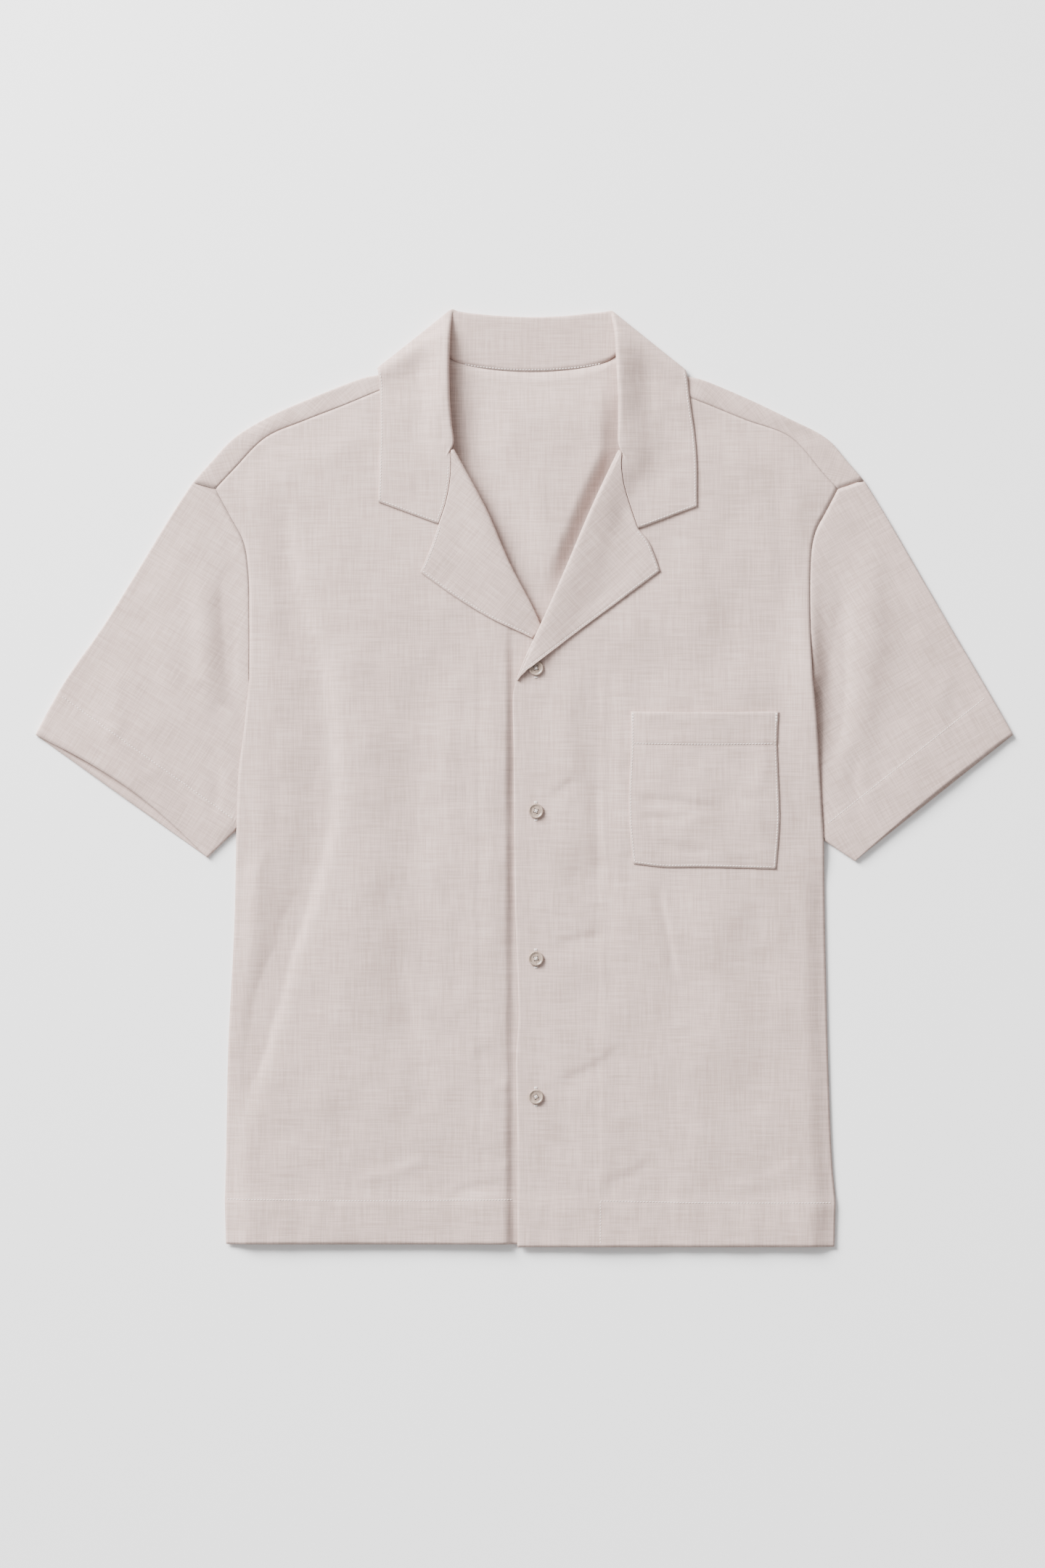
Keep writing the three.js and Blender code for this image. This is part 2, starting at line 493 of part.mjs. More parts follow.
// A front with its lapel, which turns over at the roll and lies on the front.
function front(name, grid) {
  const s = SIDES[name];
  const cloth = (p) => (p.y < s.hemCorner[1] + HEM_DEPTH - STEP / 2 ? HEM_CLOTH : CLOTH);
  const roll = last(grid).slice(-COUNT.roll - 1);
  const outward = sideways(steps(s.roll, COUNT.roll), -s.out);
  const gorge = [roll[0], ...s.gorge.slice(1).map(vector)];
  const edge = chain(gorge, steps(s.lapelTop, COUNT.lapelTop), steps(s.lapelEdge, COUNT.lapelEdge));
  const columns = roll.map((lower, i) => {
    const upper = lower.clone().setZ(lower.z + 2 * readAlong(s.rollRadius, i / COUNT.roll));
    const ply = Array.from({ length: COUNT.lapel }, (_, k) => {
      const p = upper.clone().lerp(edge[i], (k + 1) / COUNT.lapel);
      const fromButton = Math.hypot(p.x - BUTTON_X, p.y - BUTTON_YS[0]);
      const onButton = s.out > 0 ? bell(fromButton, OVER_BUTTON.radius) : 0;
      return i ? p.setZ(drapedZ(name, grid, LAPEL_CLOTH, p.x, p.y) + OVER_BUTTON.rise * onButton) : upper;
    });
    return [lower, ...turnOver(lower, upper, outward[i]), upper, ...ply];
  });
  return piece("front_" + name, wall([{ grid, cloth }, { grid: rowsOf(columns), cloth: LAPEL_CLOTH }]));
}

// One section of the collar, from its seam over its roll to its free edge.
function collarSection(section, name, grid) {
  const [seam, roll, edge] = [section.seam, section.roll, section.edge].map(vector);
  const { out } = SIDES[name];
  const apex = roll.clone().sub(seam.clone().lerp(edge, 0.5)).setZ(0).normalize();
  const turn = THREE.MathUtils.degToRad(section.turn);
  const inside = new THREE.Vector3(-out * apex.y, out * apex.x, 0);
  const across = inside.multiplyScalar(Math.cos(turn)).setZ(Math.sin(turn));
  const centre = roll.clone().addScaledVector(apex, -section.radius - COLLAR_CLOTH / 2);
  const round = Array.from({ length: COUNT.turn + 1 }, (_, k) => {
    const angle = Math.PI * (0.5 - k / COUNT.turn);
    const turned = apex.clone().multiplyScalar(Math.cos(angle)).addScaledVector(across, Math.sin(angle));
    const flat = seam.clone().lerp(roll, (COUNT.stand + k) / (COUNT.stand + COUNT.turn));
    return section.radius ? centre.clone().addScaledVector(turned, section.radius) : flat;
  });
  const stand = Array.from({ length: COUNT.stand }, (_, k) => seam.clone().lerp(round[0], k / COUNT.stand));
  const fall = Array.from({ length: COUNT.fall }, (_, k) =>
    last(round).clone().lerp(edge, (k + 1) / COUNT.fall),
  );
  return [...stand, ...round, ...fall].map((p, k) => {
    const onFall = section.radius ? smooth(COUNT.stand + COUNT.turn - 1, COUNT.stand + COUNT.turn + 1, k) : 1;
    return p.setZ(mix(p.z, drapedZ(name, grid, COLLAR_CLOTH, p.x, p.y), section.rests * onFall));
  });
}

// The collar, stand and fall in one piece, from point to point.
function collar(grids) {
  const grid = COLLAR_SECTIONS.map((section) => {
    const name = section.roll[0] < NECK_MIDDLE_X ? "right" : "left";
    return collarSection(section, name, grids[name]);
  });
  return piece("collar", wall([{ grid, cloth: COLLAR_CLOTH }]));
}

// A sleeve pressed flat into two plies, open at the hem, its seam edge tucked under the front.
function sleeve(name) {
  const s = SIDES[name];
  const inset = (FOLD_HEIGHT + CLOTH) / 2;
  const topLine = steps(s.sleeveFold, COUNT.sleeve);
  const topOut = sideways(topLine, s.out);
  const top = moved(topLine, topOut, -inset);
  top[0] = bodyward(top, s.out, -SEAM_GAP / 2)[0];
  const underLine = steps([last(s.sideOverSleeve), s.cuff.under], COUNT.sleeve);
  const underOut = sideways(underLine, -s.out);
  const under = moved(underLine, underOut, -inset);
  const armhole = (tuck) => {
    const path = chain(steps(s.armhole, COUNT.armhole), steps(tuck, COUNT.tuck));
    return [top[0], ...bodyward(path, s.out, -SEAM_GAP / 2).slice(0, -1), under[0]];
  };
  const count = COUNT.armhole + COUNT.tuck + 1;
  const cuffLine = steps([plan(last(top)), plan(last(under))], count);
  const arch = cuffLine.map((_, i) => s.cuff.arch * Math.sin((Math.PI * i) / count));
  const cuffArch = moved(cuffLine, sideways(cuffLine, -s.out), arch);
  const flat = { left: top, right: under, bottom: armhole(s.sideOverSleeve), top: cuffLine };
  const lower = sheetOver(flat);
  const upper = sheetOver({ ...flat, bottom: armhole(s.tuckedArmhole), top: cuffArch });
  const hem = [s.cuff.top, s.cuff.under];
  const cloth = (p) => (nearest(hem, p.x, p.y).distance < SLEEVE_HEM_DEPTH ? HEM_CLOTH : CLOTH);
  const grid = lower.map((row, j) => {
    const below = row.map((p) => p.clone().setZ(cloth(p) / 2));
    const above = upper[j].map((p, i) => {
      const rise = Math.sin((Math.PI * i) / count) * smooth(0, 0.4, j / COUNT.sleeve);
      return p.clone().setZ(below[i].z + FOLD_HEIGHT + SLEEVE_RISE * rise);
    });
    const turnUnder = turnOver(last(below), last(above), underOut[j]);
    const turnTop = reversed(turnOver(below[0], above[0], topOut[j]));
    return [...below, ...turnUnder, ...reversed(above), ...turnTop, below[0]];
  });
  return piece("sleeve_" + name, wall([{ grid, cloth }]));
}

// The patch pocket, its points the front's own moved out.
function pocket(grid) {
  const hemTop = POCKET.top[0][1] - POCKET_HEM_DEPTH;
  const [left, right] = [POCKET.left, POCKET.right].map((line) => {
    const side = steps(line, COUNT.pocket);
    side[COUNT.pocket - 1].y = hemTop;
    side[COUNT.pocket - 2].y = hemTop - STEP;
    return side;
  });
  const bottom = steps(POCKET.bottom, COUNT.pocket);
  const flat = sheetOver({ bottom, top: steps(POCKET.top, COUNT.pocket), left, right });
  const cloth = (p) => (p.y > hemTop - STEP / 2 ? HEM_CLOTH : CLOTH);
  const laid = raised(flat, (x, y) => heightOn(grid, x, y) + (CLOTH + cloth({ y })) / 2 + LAID);
  return piece("pocket", wall([{ grid: laid, cloth }]));
}

// A four-hole button with a raised rim.
function button(name, x, y, z) {
  const { radius, height, rim, dish, edge, holeRadius, holeOffset } = BUTTON;
  const profile = [
    [0, 0], [radius - edge, 0], [radius, edge], [radius, height - edge], [radius - edge, height],
    [radius - rim, height], [radius - rim - dish, height - dish], [0, height - dish],
  ];
  const hole = wasm.Manifold.cylinder(height * 2, holeRadius, holeRadius, COUNT.hole, true);
  const corners = [[-1, -1], [1, -1], [1, 1], [-1, 1]];
  const holes = corners.map(([i, j]) => hole.translate([i * holeOffset, j * holeOffset, height / 2]));
  const disc = wasm.Manifold.revolve([profile], COUNT.button);
  const drilled = disc.subtract(wasm.Manifold.union(holes)).translate([x, y, z]);
  const { vertProperties, triVerts } = drilled.getMesh();
  const geometry = new THREE.BufferGeometry();
  geometry.setAttribute("position", new THREE.BufferAttribute(vertProperties, 3));
  geometry.setIndex(new THREE.BufferAttribute(triVerts, 1));
  geometry.computeVertexNormals();
  return piece(name, geometry, COLOURS.button, 0.35);
}

const grids = { right: frontGrid("right"), left: frontGrid("left") };
const group = new THREE.Group();
group.add(back(), front("right", grids.right), front("left", grids.left), collar(grids));
group.add(sleeve("right"), sleeve("left"), pocket(grids.left));
BUTTON_YS.forEach((y, i) => {
  const z = heightOn(grids.left, BUTTON_X, y) + CLOTH / 2 + LAID;
  group.add(button(`button_${i + 1}`, BUTTON_X, y, z));
});

export default group;
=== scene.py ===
"""A short-sleeved shirt with a camp collar, laid flat on its back with the collar open.

Lengths in the tables are millimetres: +X is to the viewer's right, +Y runs from the hem to the
collar and +Z is up from the surface. Right and left are the wearer's, so the right side is at -X.
"""

from __future__ import annotations

import logging
import math
from dataclasses import dataclass, field
from enum import Enum
from typing import Sequence

import bpy
import numpy as np
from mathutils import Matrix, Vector
from mathutils.bvhtree import BVHTree

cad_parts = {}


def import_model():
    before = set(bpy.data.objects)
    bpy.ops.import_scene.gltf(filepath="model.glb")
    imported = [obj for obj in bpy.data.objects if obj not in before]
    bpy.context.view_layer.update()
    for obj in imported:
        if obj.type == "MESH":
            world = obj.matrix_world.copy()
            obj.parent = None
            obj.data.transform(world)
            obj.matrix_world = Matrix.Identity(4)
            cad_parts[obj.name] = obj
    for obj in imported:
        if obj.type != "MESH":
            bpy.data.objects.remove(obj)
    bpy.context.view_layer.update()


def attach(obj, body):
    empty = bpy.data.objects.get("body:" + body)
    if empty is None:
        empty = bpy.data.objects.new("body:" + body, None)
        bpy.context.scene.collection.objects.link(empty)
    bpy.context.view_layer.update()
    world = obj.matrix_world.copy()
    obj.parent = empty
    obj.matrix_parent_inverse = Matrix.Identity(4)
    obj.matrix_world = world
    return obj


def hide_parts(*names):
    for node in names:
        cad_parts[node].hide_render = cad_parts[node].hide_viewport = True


log = logging.getLogger("shirt")

Grid = np.ndarray
Plan = Sequence[Sequence[float]]
Colour = tuple[float, float, float]
Solid = tuple[Grid, Grid]

METRE = 0.001
GRAIN = "grain"
UP = np.array([0.0, 0.0, 1.0])

# The cloth's walls. FRAME_CLOTH is that of a single panel in the frame, which the heights go by.
FRAME_CLOTH = 1.0
CLOTH = 0.7
HEM_CLOTH = 1.2
COLLAR_CLOTH = 1.2
LAPEL_CLOTH = 1.3

# How far the thin cloth's middle is lifted to lie on the surface as the frame's does
CLOTH_LIFT = (FRAME_CLOTH - CLOTH) / 2

# Gaps, heights and depths that pieces share; the puff is where the body stands up beside an armhole
SEAM_GAP = 0.12
LAID = 0.4
FOLD_HEIGHT = 2.3
FOLD_INSET = (FOLD_HEIGHT + FRAME_CLOTH) / 2
UPPER_PLY_Z = FRAME_CLOTH / 2 + FOLD_HEIGHT
FRONT_BELLY = 3.7
SLEEVE_RISE = 1.8
HEM_LIFT = 0.7
HEM_DEPTH = 38.0
SLEEVE_HEM_DEPTH = 40.0
POCKET_HEM_DEPTH = 28.0
DRAPE_REACH = 30.0
PUFF_Y = 90.0
PUFF_REACH = 70.0
SLEEVE_LIFT_Z = 4.5

# Places in plan
HEM_RIGHT_Y = -398.0
HEM_LEFT_Y = -400.4
HEM_BACK_Y = -396.0
NECK_MIDDLE_X = 6.0
NECK_BACK_Y = 347.0
FALL_EDGE_Y = 340.0
BUTTON_X = 10.0
BUTTON_YS = (94.0, -28.0, -154.0, -272.0)

# How much higher than the frame's the fronts lie between their folds, and how much stronger the
# sleeves' folds are than their table says
FRONT_LOFT = 2.1
SLEEVE_GAIN = 1.9

# How much higher than the frame's the soft roll of the collar stands at the sides of the neck
COLLAR_LOFT = 3.6


class Hand(Enum):
    """The wearer's side."""

    RIGHT = "right"
    LEFT = "left"


class Hold(Enum):
    """How a sheet of cloth is held."""

    LAID = "laid"


class Slot(Enum):
    """The record's material slots."""

    CLOTH = "cloth"
    BUTTON = "button"


def smooth(a: float, b: float, x: Grid) -> Grid:
    """Rises from 0 at a to 1 at b with a smooth start and end; b may be below a."""
    t = np.clip((np.asarray(x, float) - a) / (b - a), 0.0, 1.0)
    return t * t * (3.0 - 2.0 * t)


def mix(a: Grid, b: Grid, t: Grid) -> Grid:
    """Goes from a to b as t goes from 0 to 1."""
    return a + (b - a) * t


def bell(distance: Grid, radius: Grid) -> Grid:
    """A round hump, 1 at no distance."""
    return np.exp(-((distance / radius) ** 2))


def spatial(points: Plan) -> Grid:
    """Points in plan or in space as rows of three numbers."""
    return np.array([(*p, 0.0)[:3] for p in points], float)


def hermite(b: Grid, c: Grid, out: Grid, into: Grid, t: Grid) -> Grid:
    """A smooth way from b to c that leaves along out and arrives along into, at t from 0 to 1."""
    start, end = 2 * t**3 - 3 * t**2 + 1, 3 * t**2 - 2 * t**3
    return start * b + (t**3 - 2 * t**2 + t) * out + end * c + (t**3 - t**2) * into


def curve(points: Plan, count: int) -> Grid:
    """A smooth curve through points, cut into equal steps.

    Args:
        points: places in plan or in space.
        count: the number of steps.

    Returns:
        count + 1 rows of three numbers.
    """
    p = spatial(points)
    if len(p) == 2:
        return mix(p[0], p[1], np.linspace(0.0, 1.0, count + 1)[:, None])
    ends = np.vstack([2 * p[0] - p[1], p, 2 * p[-1] - p[-2]])
    gaps = np.maximum(np.sum(np.diff(ends, axis=0) ** 2, axis=1) ** 0.25, 1e-4)
    t = np.linspace(0.0, 1.0, 40, endpoint=False)[:, None]
    fine = []
    for i in range(1, len(ends) - 2):
        a, b, c, d = ends[i - 1 : i + 3]
        d0, d1, d2 = gaps[i - 1 : i + 2]
        out = ((b - a) / d0 - (c - a) / (d0 + d1) + (c - b) / d1) * d1
        into = ((c - b) / d1 - (d - b) / (d1 + d2) + (d - c) / d2) * d1
        fine.append(hermite(b, c, out, into, t))
    line = np.vstack([*fine, p[-1:]])
    run = run_of(line)
    at = np.linspace(0.0, run[-1], count + 1)
    return np.stack([np.interp(at, run, line[:, k]) for k in range(3)], axis=1)


def run_of(path: Grid) -> Grid:
    """How far a path has run at each of its points."""
    return np.concatenate([[0.0], np.cumsum(np.linalg.norm(np.diff(path, axis=0), axis=1))])


def run_share(path: Grid) -> Grid:
    """The share of its own length that a path has run at each of its points."""
    run = run_of(path)
    return run / run[-1]


def sideways(path: Grid, sign: float = 1.0) -> Grid:
    """Directions in plan square to a path, to the left of the way it runs or, with -1, to the right.

    Args:
        path: the path's points.
        sign: 1 for the left, -1 for the right.

    Returns:
        A row of length 1 for each point.
    """
    along = np.empty_like(path)
    along[1:-1] = path[2:] - path[:-2]
    along[0], along[-1] = path[1] - path[0], path[-1] - path[-2]
    out = np.stack([-along[:, 1], along[:, 0], np.zeros(len(path))], axis=1)
    return sign * out / np.linalg.norm(out, axis=1, keepdims=True)


def moved(path: Grid, directions: Grid, distance: Grid) -> Grid:
    """The same path moved along given directions, by one distance or by one for each point."""
    return path + directions * np.reshape(distance, (-1, 1))


def chain(*stretches: Grid) -> Grid:
    """Several stretches end to end, sharing their corners."""
    return np.vstack([s[1:] if i else s for i, s in enumerate(stretches)])


def joined(*lines: Plan) -> Plan:
    """Several lists of plan points end to end, sharing their corners."""
    return [p for i, line in enumerate(lines) for p in (line[1:] if i else line)]


def nearest(line: Plan, x: Grid, y: Grid) -> tuple[Grid, Grid, Grid]:
    """How far places lie from a line in plan.

    Args:
        line: the line's points.
        x: the places' first coordinates.
        y: the places' second coordinates.

    Returns:
        The distances, how far along the line (0 to 1) its nearest points are, and the side
        of the line, 1 to the left of the way it runs and -1 to the right.
    """
    best = np.full(np.shape(x), np.inf)
    at, side = np.zeros(np.shape(x)), np.ones(np.shape(x))
    for i in range(len(line) - 1):
        (ax, ay), (bx, by) = line[i][:2], line[i + 1][:2]
        dx, dy = bx - ax, by - ay
        t = np.clip(((x - ax) * dx + (y - ay) * dy) / (dx * dx + dy * dy), 0.0, 1.0)
        ex, ey = x - (ax + dx * t), y - (ay + dy * t)
        distance = np.hypot(ex, ey)
        closer = distance < best
        best = np.where(closer, distance, best)
        at = np.where(closer, (i + t) / (len(line) - 1), at)
        side = np.where(closer, np.where(dx * ey - dy * ex < 0, -1.0, 1.0), side)
    return best, at, side


def read_along(values: Sequence[float], at: Grid) -> Grid:
    """A value read along a table of equal steps."""
    return np.interp(np.asarray(at) * (len(values) - 1), np.arange(len(values)), values)


def sheet_over(bottom: Grid, top: Grid, left: Grid, right: Grid) -> Grid:
    """A flat sheet of points stretched over four edges.

    Args:
        bottom: the first row, from left to right.
        top: the last row, from left to right.
        left: the first column, from bottom to top.
        right: the last column, from bottom to top.

    Returns:
        Rows of points.
    """
    s = ((run_share(bottom) + run_share(top)) / 2)[None, :, None]
    t = ((run_share(left) + run_share(right)) / 2)[:, None, None]
    corners = mix(mix(bottom[0], bottom[-1], s), mix(top[0], top[-1], s), t)
    return mix(bottom[None], top[None], t) + mix(left[:, None], right[:, None], s) - corners


def turn_over(lower: Grid, upper: Grid, outward: Grid, count: int) -> Grid:
    """Cloth carried half round a pressed edge, from one ply to the other above it.

    Args:
        lower: points of the lower ply's edge.
        upper: the points above them.
        outward: directions in plan in which the fold stands out.
        count: the number of steps round the turn.

    Returns:
        count - 1 rows of points between the two.
    """
    middle, half = (lower + upper) / 2, (upper[:, 2:] - lower[:, 2:]) / 2
    angles = np.pi * np.arange(1, count) / count - np.pi / 2
    return np.stack([middle + half * (outward * math.cos(a) + UP * math.sin(a)) for a in angles])


def on_plan(grid: Grid) -> Grid:
    """The same points laid down into the plan.

    Args:
        grid: points in space.

    Returns:
        A copy at height 0.
    """
    flat = grid.copy()
    flat[..., 2] = 0
    return flat


def steps(count: int, first: int = 0) -> Grid:
    """Equal shares from first / count up to 1."""
    return np.arange(first, count + 1) / count


def pucker(x: Grid, step: float, sway: float, slow: float) -> Grid:
    """Small waves along a seam, now closer and now wider apart."""
    return np.sin(x / step + sway * np.sin(x / slow))


def hemmed(distance: Grid) -> Grid:
    """The cloth's thickness at a distance from a hem's stitching, negative inside the hem."""
    return mix(CLOTH, HEM_CLOTH, smooth(1, -1, distance))


def seam_line_dip(distance: Grid) -> Grid:
    """How deep a seam sinks into the cloth at a distance from it."""
    return 0.12 * bell(distance, 1.8)


@dataclass(frozen=True)
class Crease:
    """A soft trough or ridge along a line in plan.

    rise is its height, negative for a trough; width is its half width to the left of the way the
    line runs and far that to the right; taper is the share of its length over which it fades.
    """

    line: Plan
    width: float
    rise: float
    far: float = 0.0
    taper: float = 0.25

    def height(self, x: Grid, y: Grid) -> Grid:
        """What the crease adds to the cloth's height.

        Args:
            x: the places' first coordinates.
            y: the places' second coordinates.

        Returns:
            The height to add at each place.
        """
        path = self.line if len(self.line) == 2 else curve(self.line, 4 * len(self.line))
        distance, at, side = nearest(path, x, y)
        width = np.where(side > 0, self.width, self.far or self.width)
        ends = smooth(0.0, self.taper, at) * smooth(1.0, 1.0 - self.taper, at)
        return self.rise * ends * bell(distance, width)


def creases(*rows: tuple) -> tuple[Crease, ...]:
    """Creases from rows of line, width, rise, far and taper."""
    return tuple(Crease(*row) for row in rows)


@dataclass(frozen=True)
class Undulation:
    """The slight unevenness of cloth that was laid out by hand: a sum of seeded waves."""

    seed: int
    waves: tuple[tuple[int, float, float, float], ...] = (
        (7, 80.0, 170.0, 0.24),
        (9, 30.0, 66.0, 0.08),
        (9, 11.0, 24.0, 0.014),
    )

    def height(self, x: Grid, y: Grid) -> Grid:
        """What the waves add to the cloth's height.

        Args:
            x: the places' first coordinates.
            y: the places' second coordinates.

        Returns:
            The height to add at each place.
        """
        draw = np.random.default_rng(self.seed)
        z = np.zeros(np.shape(x))
        for count, short, long, rise in self.waves:
            for _ in range(count):
                turn, phase = draw.uniform(0, 2 * np.pi, 2)
                k = 2 * np.pi / draw.uniform(short, long)
                bend = 0.6 * np.sin(k * 0.37 * (x * math.sin(turn) - y * math.cos(turn)) + phase)
                z += rise * np.sin(k * (x * math.cos(turn) + y * math.sin(turn)) + phase + bend)
        return z


@dataclass(frozen=True)
class Ply:
    """Rows of points of a cloth's middle, its thickness and each point's place on the flat cut."""

    grid: Grid
    cloth: Grid | float
    flat: Grid


def shell(plies: Sequence[Ply]) -> tuple[Grid, Grid, Grid]:
    """A thin closed wall grown on both sides of plies that share their edges.

    Args:
        plies: the cloth's sheets, all seen from the same side.

    Returns:
        The points, the triangles, and the points' places on the flat cut.
    """
    points, halves, flats, corners, start = [], [], [], [], 0
    for ply in plies:
        rows, columns = ply.grid.shape[:2]
        index = start + np.arange(rows * columns).reshape(rows, columns)
        around = (index[:-1, :-1], index[:-1, 1:], index[1:, 1:], index[1:, :-1])
        corners.append(np.stack(around, -1).reshape(-1, 4))
        points.append(ply.grid.reshape(-1, 3))
        halves.append(np.broadcast_to(ply.cloth, (rows, columns)).ravel() / 2)
        flats.append(ply.flat.reshape(-1, 3))
        start += rows * columns
    every, half, flat = np.vstack(points), np.concatenate(halves), np.vstack(flats)
    keys = np.round(every * 1000).astype(np.int64)
    _, first, inverse = np.unique(keys, axis=0, return_index=True, return_inverse=True)
    every, half, flat = every[first], half[first], flat[first]
    quads = inverse.reshape(-1)[np.vstack(corners)]
    triangles = np.vstack([quads[:, [0, 1, 2]], quads[:, [0, 2, 3]]])
    a, b, c = triangles.T
    triangles = triangles[(a != b) & (b != c) & (c != a)]
    p, q, r = every[triangles[:, 0]], every[triangles[:, 1]], every[triangles[:, 2]]
    facing = np.cross(q - p, r - p)
    normals = np.zeros_like(every)
    for k in range(3):
        np.add.at(normals, triangles[:, k], facing)
    normals /= np.maximum(np.linalg.norm(normals, axis=1, keepdims=True), 1e-9)
    count = len(every)
    edges = np.vstack([triangles[:, [0, 1]], triangles[:, [1, 2]], triangles[:, [2, 0]]])
    free = edges[~np.isin(edges[:, 0] * count + edges[:, 1], edges[:, 1] * count + edges[:, 0])]
    half[np.unique(free)] *= 0.6
    upper, lower = every + normals * half[:, None], every - normals * half[:, None]
    a, b = free.T
    rim = np.vstack([np.stack([a, count + a, b], 1), np.stack([b, count + a, count + b], 1)])
    faces = np.vstack([triangles, count + triangles[:, [0, 2, 1]], rim])
    return np.vstack([upper, lower]), faces, np.vstack([flat, flat])


def mesh_piece(name: str, points: Grid, faces: Grid | list, flat: Grid | None = None) -> bpy.types.Object:
    """A named object from points in millimetres.

    Args:
        name: the piece's name.
        points: its points.
        faces: its faces, as rows of point numbers.
        flat: its points' places on the flat cut, for the weave.

    Returns:
        The object, linked to the scene and shaded smooth.
    """
    mesh = bpy.data.meshes.new(name)
    mesh.from_pydata((points * METRE).tolist(), [], faces if isinstance(faces, list) else faces.tolist())
    if flat is not None:
        layer = mesh.attributes.new(GRAIN, "FLOAT_VECTOR", "POINT")
        layer.data.foreach_set("vector", (flat * METRE).astype(np.float32).ravel())
    mesh.polygons.foreach_set("use_smooth", np.ones(len(mesh.polygons), bool))
    mesh.update()
    return placed(bpy.data.objects.new(name, mesh))


def placed(obj: bpy.types.Object) -> bpy.types.Object:
    """Links an object to the scene."""
    bpy.context.scene.collection.objects.link(obj)
    return obj


def dress(obj: bpy.types.Object, finish: Finish, node: str = "") -> bpy.types.Object:
    """Gives a piece its finish and body.

    Args:
        obj: the piece.
        finish: what it is made of.
        node: the frame's node that it stands for, if there is one.

    Returns:
        The piece.
    """
    obj.data.materials.append(finish.material())
    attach(obj, "root")
    if node:
        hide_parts(node)
    log.info("%s: %d faces", obj.name, len(obj.data.polygons))
    return obj


@dataclass
class Panel:
    """A piece of cloth, cut from a sheet, that stands for a node of the frame.

    flat is the width and length of the cut in metres, area its area and rests_on what it lies on; nothing
    here reads these three.
    """

    name: str
    node: str
    flat: tuple[float, float]
    area: float
    rests_on: Sequence[str]

    def plies(self) -> list[Ply]:
        """The piece's sheets."""
        raise NotImplementedError

    def build(self) -> bpy.types.Object:
        """Makes and dresses the piece.

        Returns:
            The dressed piece.
        """
        obj = dress(mesh_piece(self.name, *shell(self.plies())), CLOTH_FINISH, self.node)
        return obj


def new_group(name: str, inputs: dict[str, str], outputs: dict[str, str]) -> bpy.types.NodeTree:
    """A shader node group with named sockets.

    Args:
        name: the group's name.
        inputs: each input's socket kind.
        outputs: each output's socket kind.

    Returns:
        The group, with its Group Input and Group Output nodes.
    """
    group = bpy.data.node_groups.new(name, "ShaderNodeTree")
    for way, sockets in (("INPUT", inputs), ("OUTPUT", outputs)):
        for key, kind in sockets.items():
            group.interface.new_socket(key, in_out=way, socket_type=kind)
    group.nodes.new("NodeGroupInput").name = "in"
    group.nodes.new("NodeGroupOutput").name = "out"
    return group


@dataclass
class Wiring:
    """Adds nodes to a tree and links them."""

    tree: bpy.types.NodeTree

    def fill(self, node: bpy.types.Node, inputs: dict[object, object]) -> None:
        """Gives each named input its value, or links it from the socket given for it.

        Args:
            node: the node.
            inputs: a value or a socket for each input's name or number.
        """
        for key, value in inputs.items():
            if isinstance(value, bpy.types.NodeSocket):
                self.tree.links.new(value, node.inputs[key])
            else:
                node.inputs[key].default_value = value

    def node(self, kind: str, inputs: dict[object, object], **settings: object) -> bpy.types.Node:
        """A node with its settings and inputs.

        Args:
            kind: the node's type.
            inputs: for each input, a value or a socket to link from.
            settings: the node's own properties.

        Returns:
            The node.
        """
        made = self.tree.nodes.new(kind)
        for key, value in settings.items():
            setattr(made, key, value)
        self.fill(made, inputs)
        return made

    def maths(self, operation: str, *terms: object) -> bpy.types.NodeSocket:
        """The result of a Math node."""
        return self.node("ShaderNodeMath", dict(enumerate(terms)), operation=operation).outputs[0]

    def noise(
        self, place: bpy.types.NodeSocket, scale: tuple[float, ...], detail: float, rough: float = 0.5
    ) -> bpy.types.NodeSocket:
        """Plane noise read at a place whose numbers are multiplied by a scale.

        Args:
            place: where it is read.
            scale: what the place's three numbers are multiplied by.
            detail: how fine it goes.
            rough: how strong the fine part is.

        Returns:
            The noise, from 0 to 1.
        """
        at = self.node("ShaderNodeVectorMath", {0: place, 1: scale}, operation="MULTIPLY").outputs[0]
        inputs = {"Vector": at, "Scale": 1.0, "Detail": detail, "Roughness": rough}
        return self.node("ShaderNodeTexNoise", inputs, noise_dimensions="2D").outputs["Fac"]

    def place(self) -> bpy.types.NodeSocket:
        """The place on the object, in metres."""
        return self.node("ShaderNodeTexCoord", {}).outputs["Object"]

    def bump(self, height: bpy.types.NodeSocket, strength: float, distance: float) -> bpy.types.NodeSocket:
        """Normals that follow a height."""
        inputs = {"Height": height, "Strength": strength, "Distance": distance}
        return self.node("ShaderNodeBump", inputs).outputs[0]

    def ramp(
        self, value: bpy.types.NodeSocket, ends: tuple[float, float], *colours: Colour
    ) -> bpy.types.NodeSocket:
        """A colour between two, as a value goes from one end to the other.

        Args:
            value: the value that picks the colour.
            ends: where the two colours are reached.
            colours: the two colours.

        Returns:
            The colour.
        """
        made = self.node("ShaderNodeValToRGB", {"Fac": value})
        for stop, at, colour in zip(made.color_ramp.elements, ends, colours):
            stop.position, stop.color = at, (*colour, 1.0)
        return made.outputs["Color"]


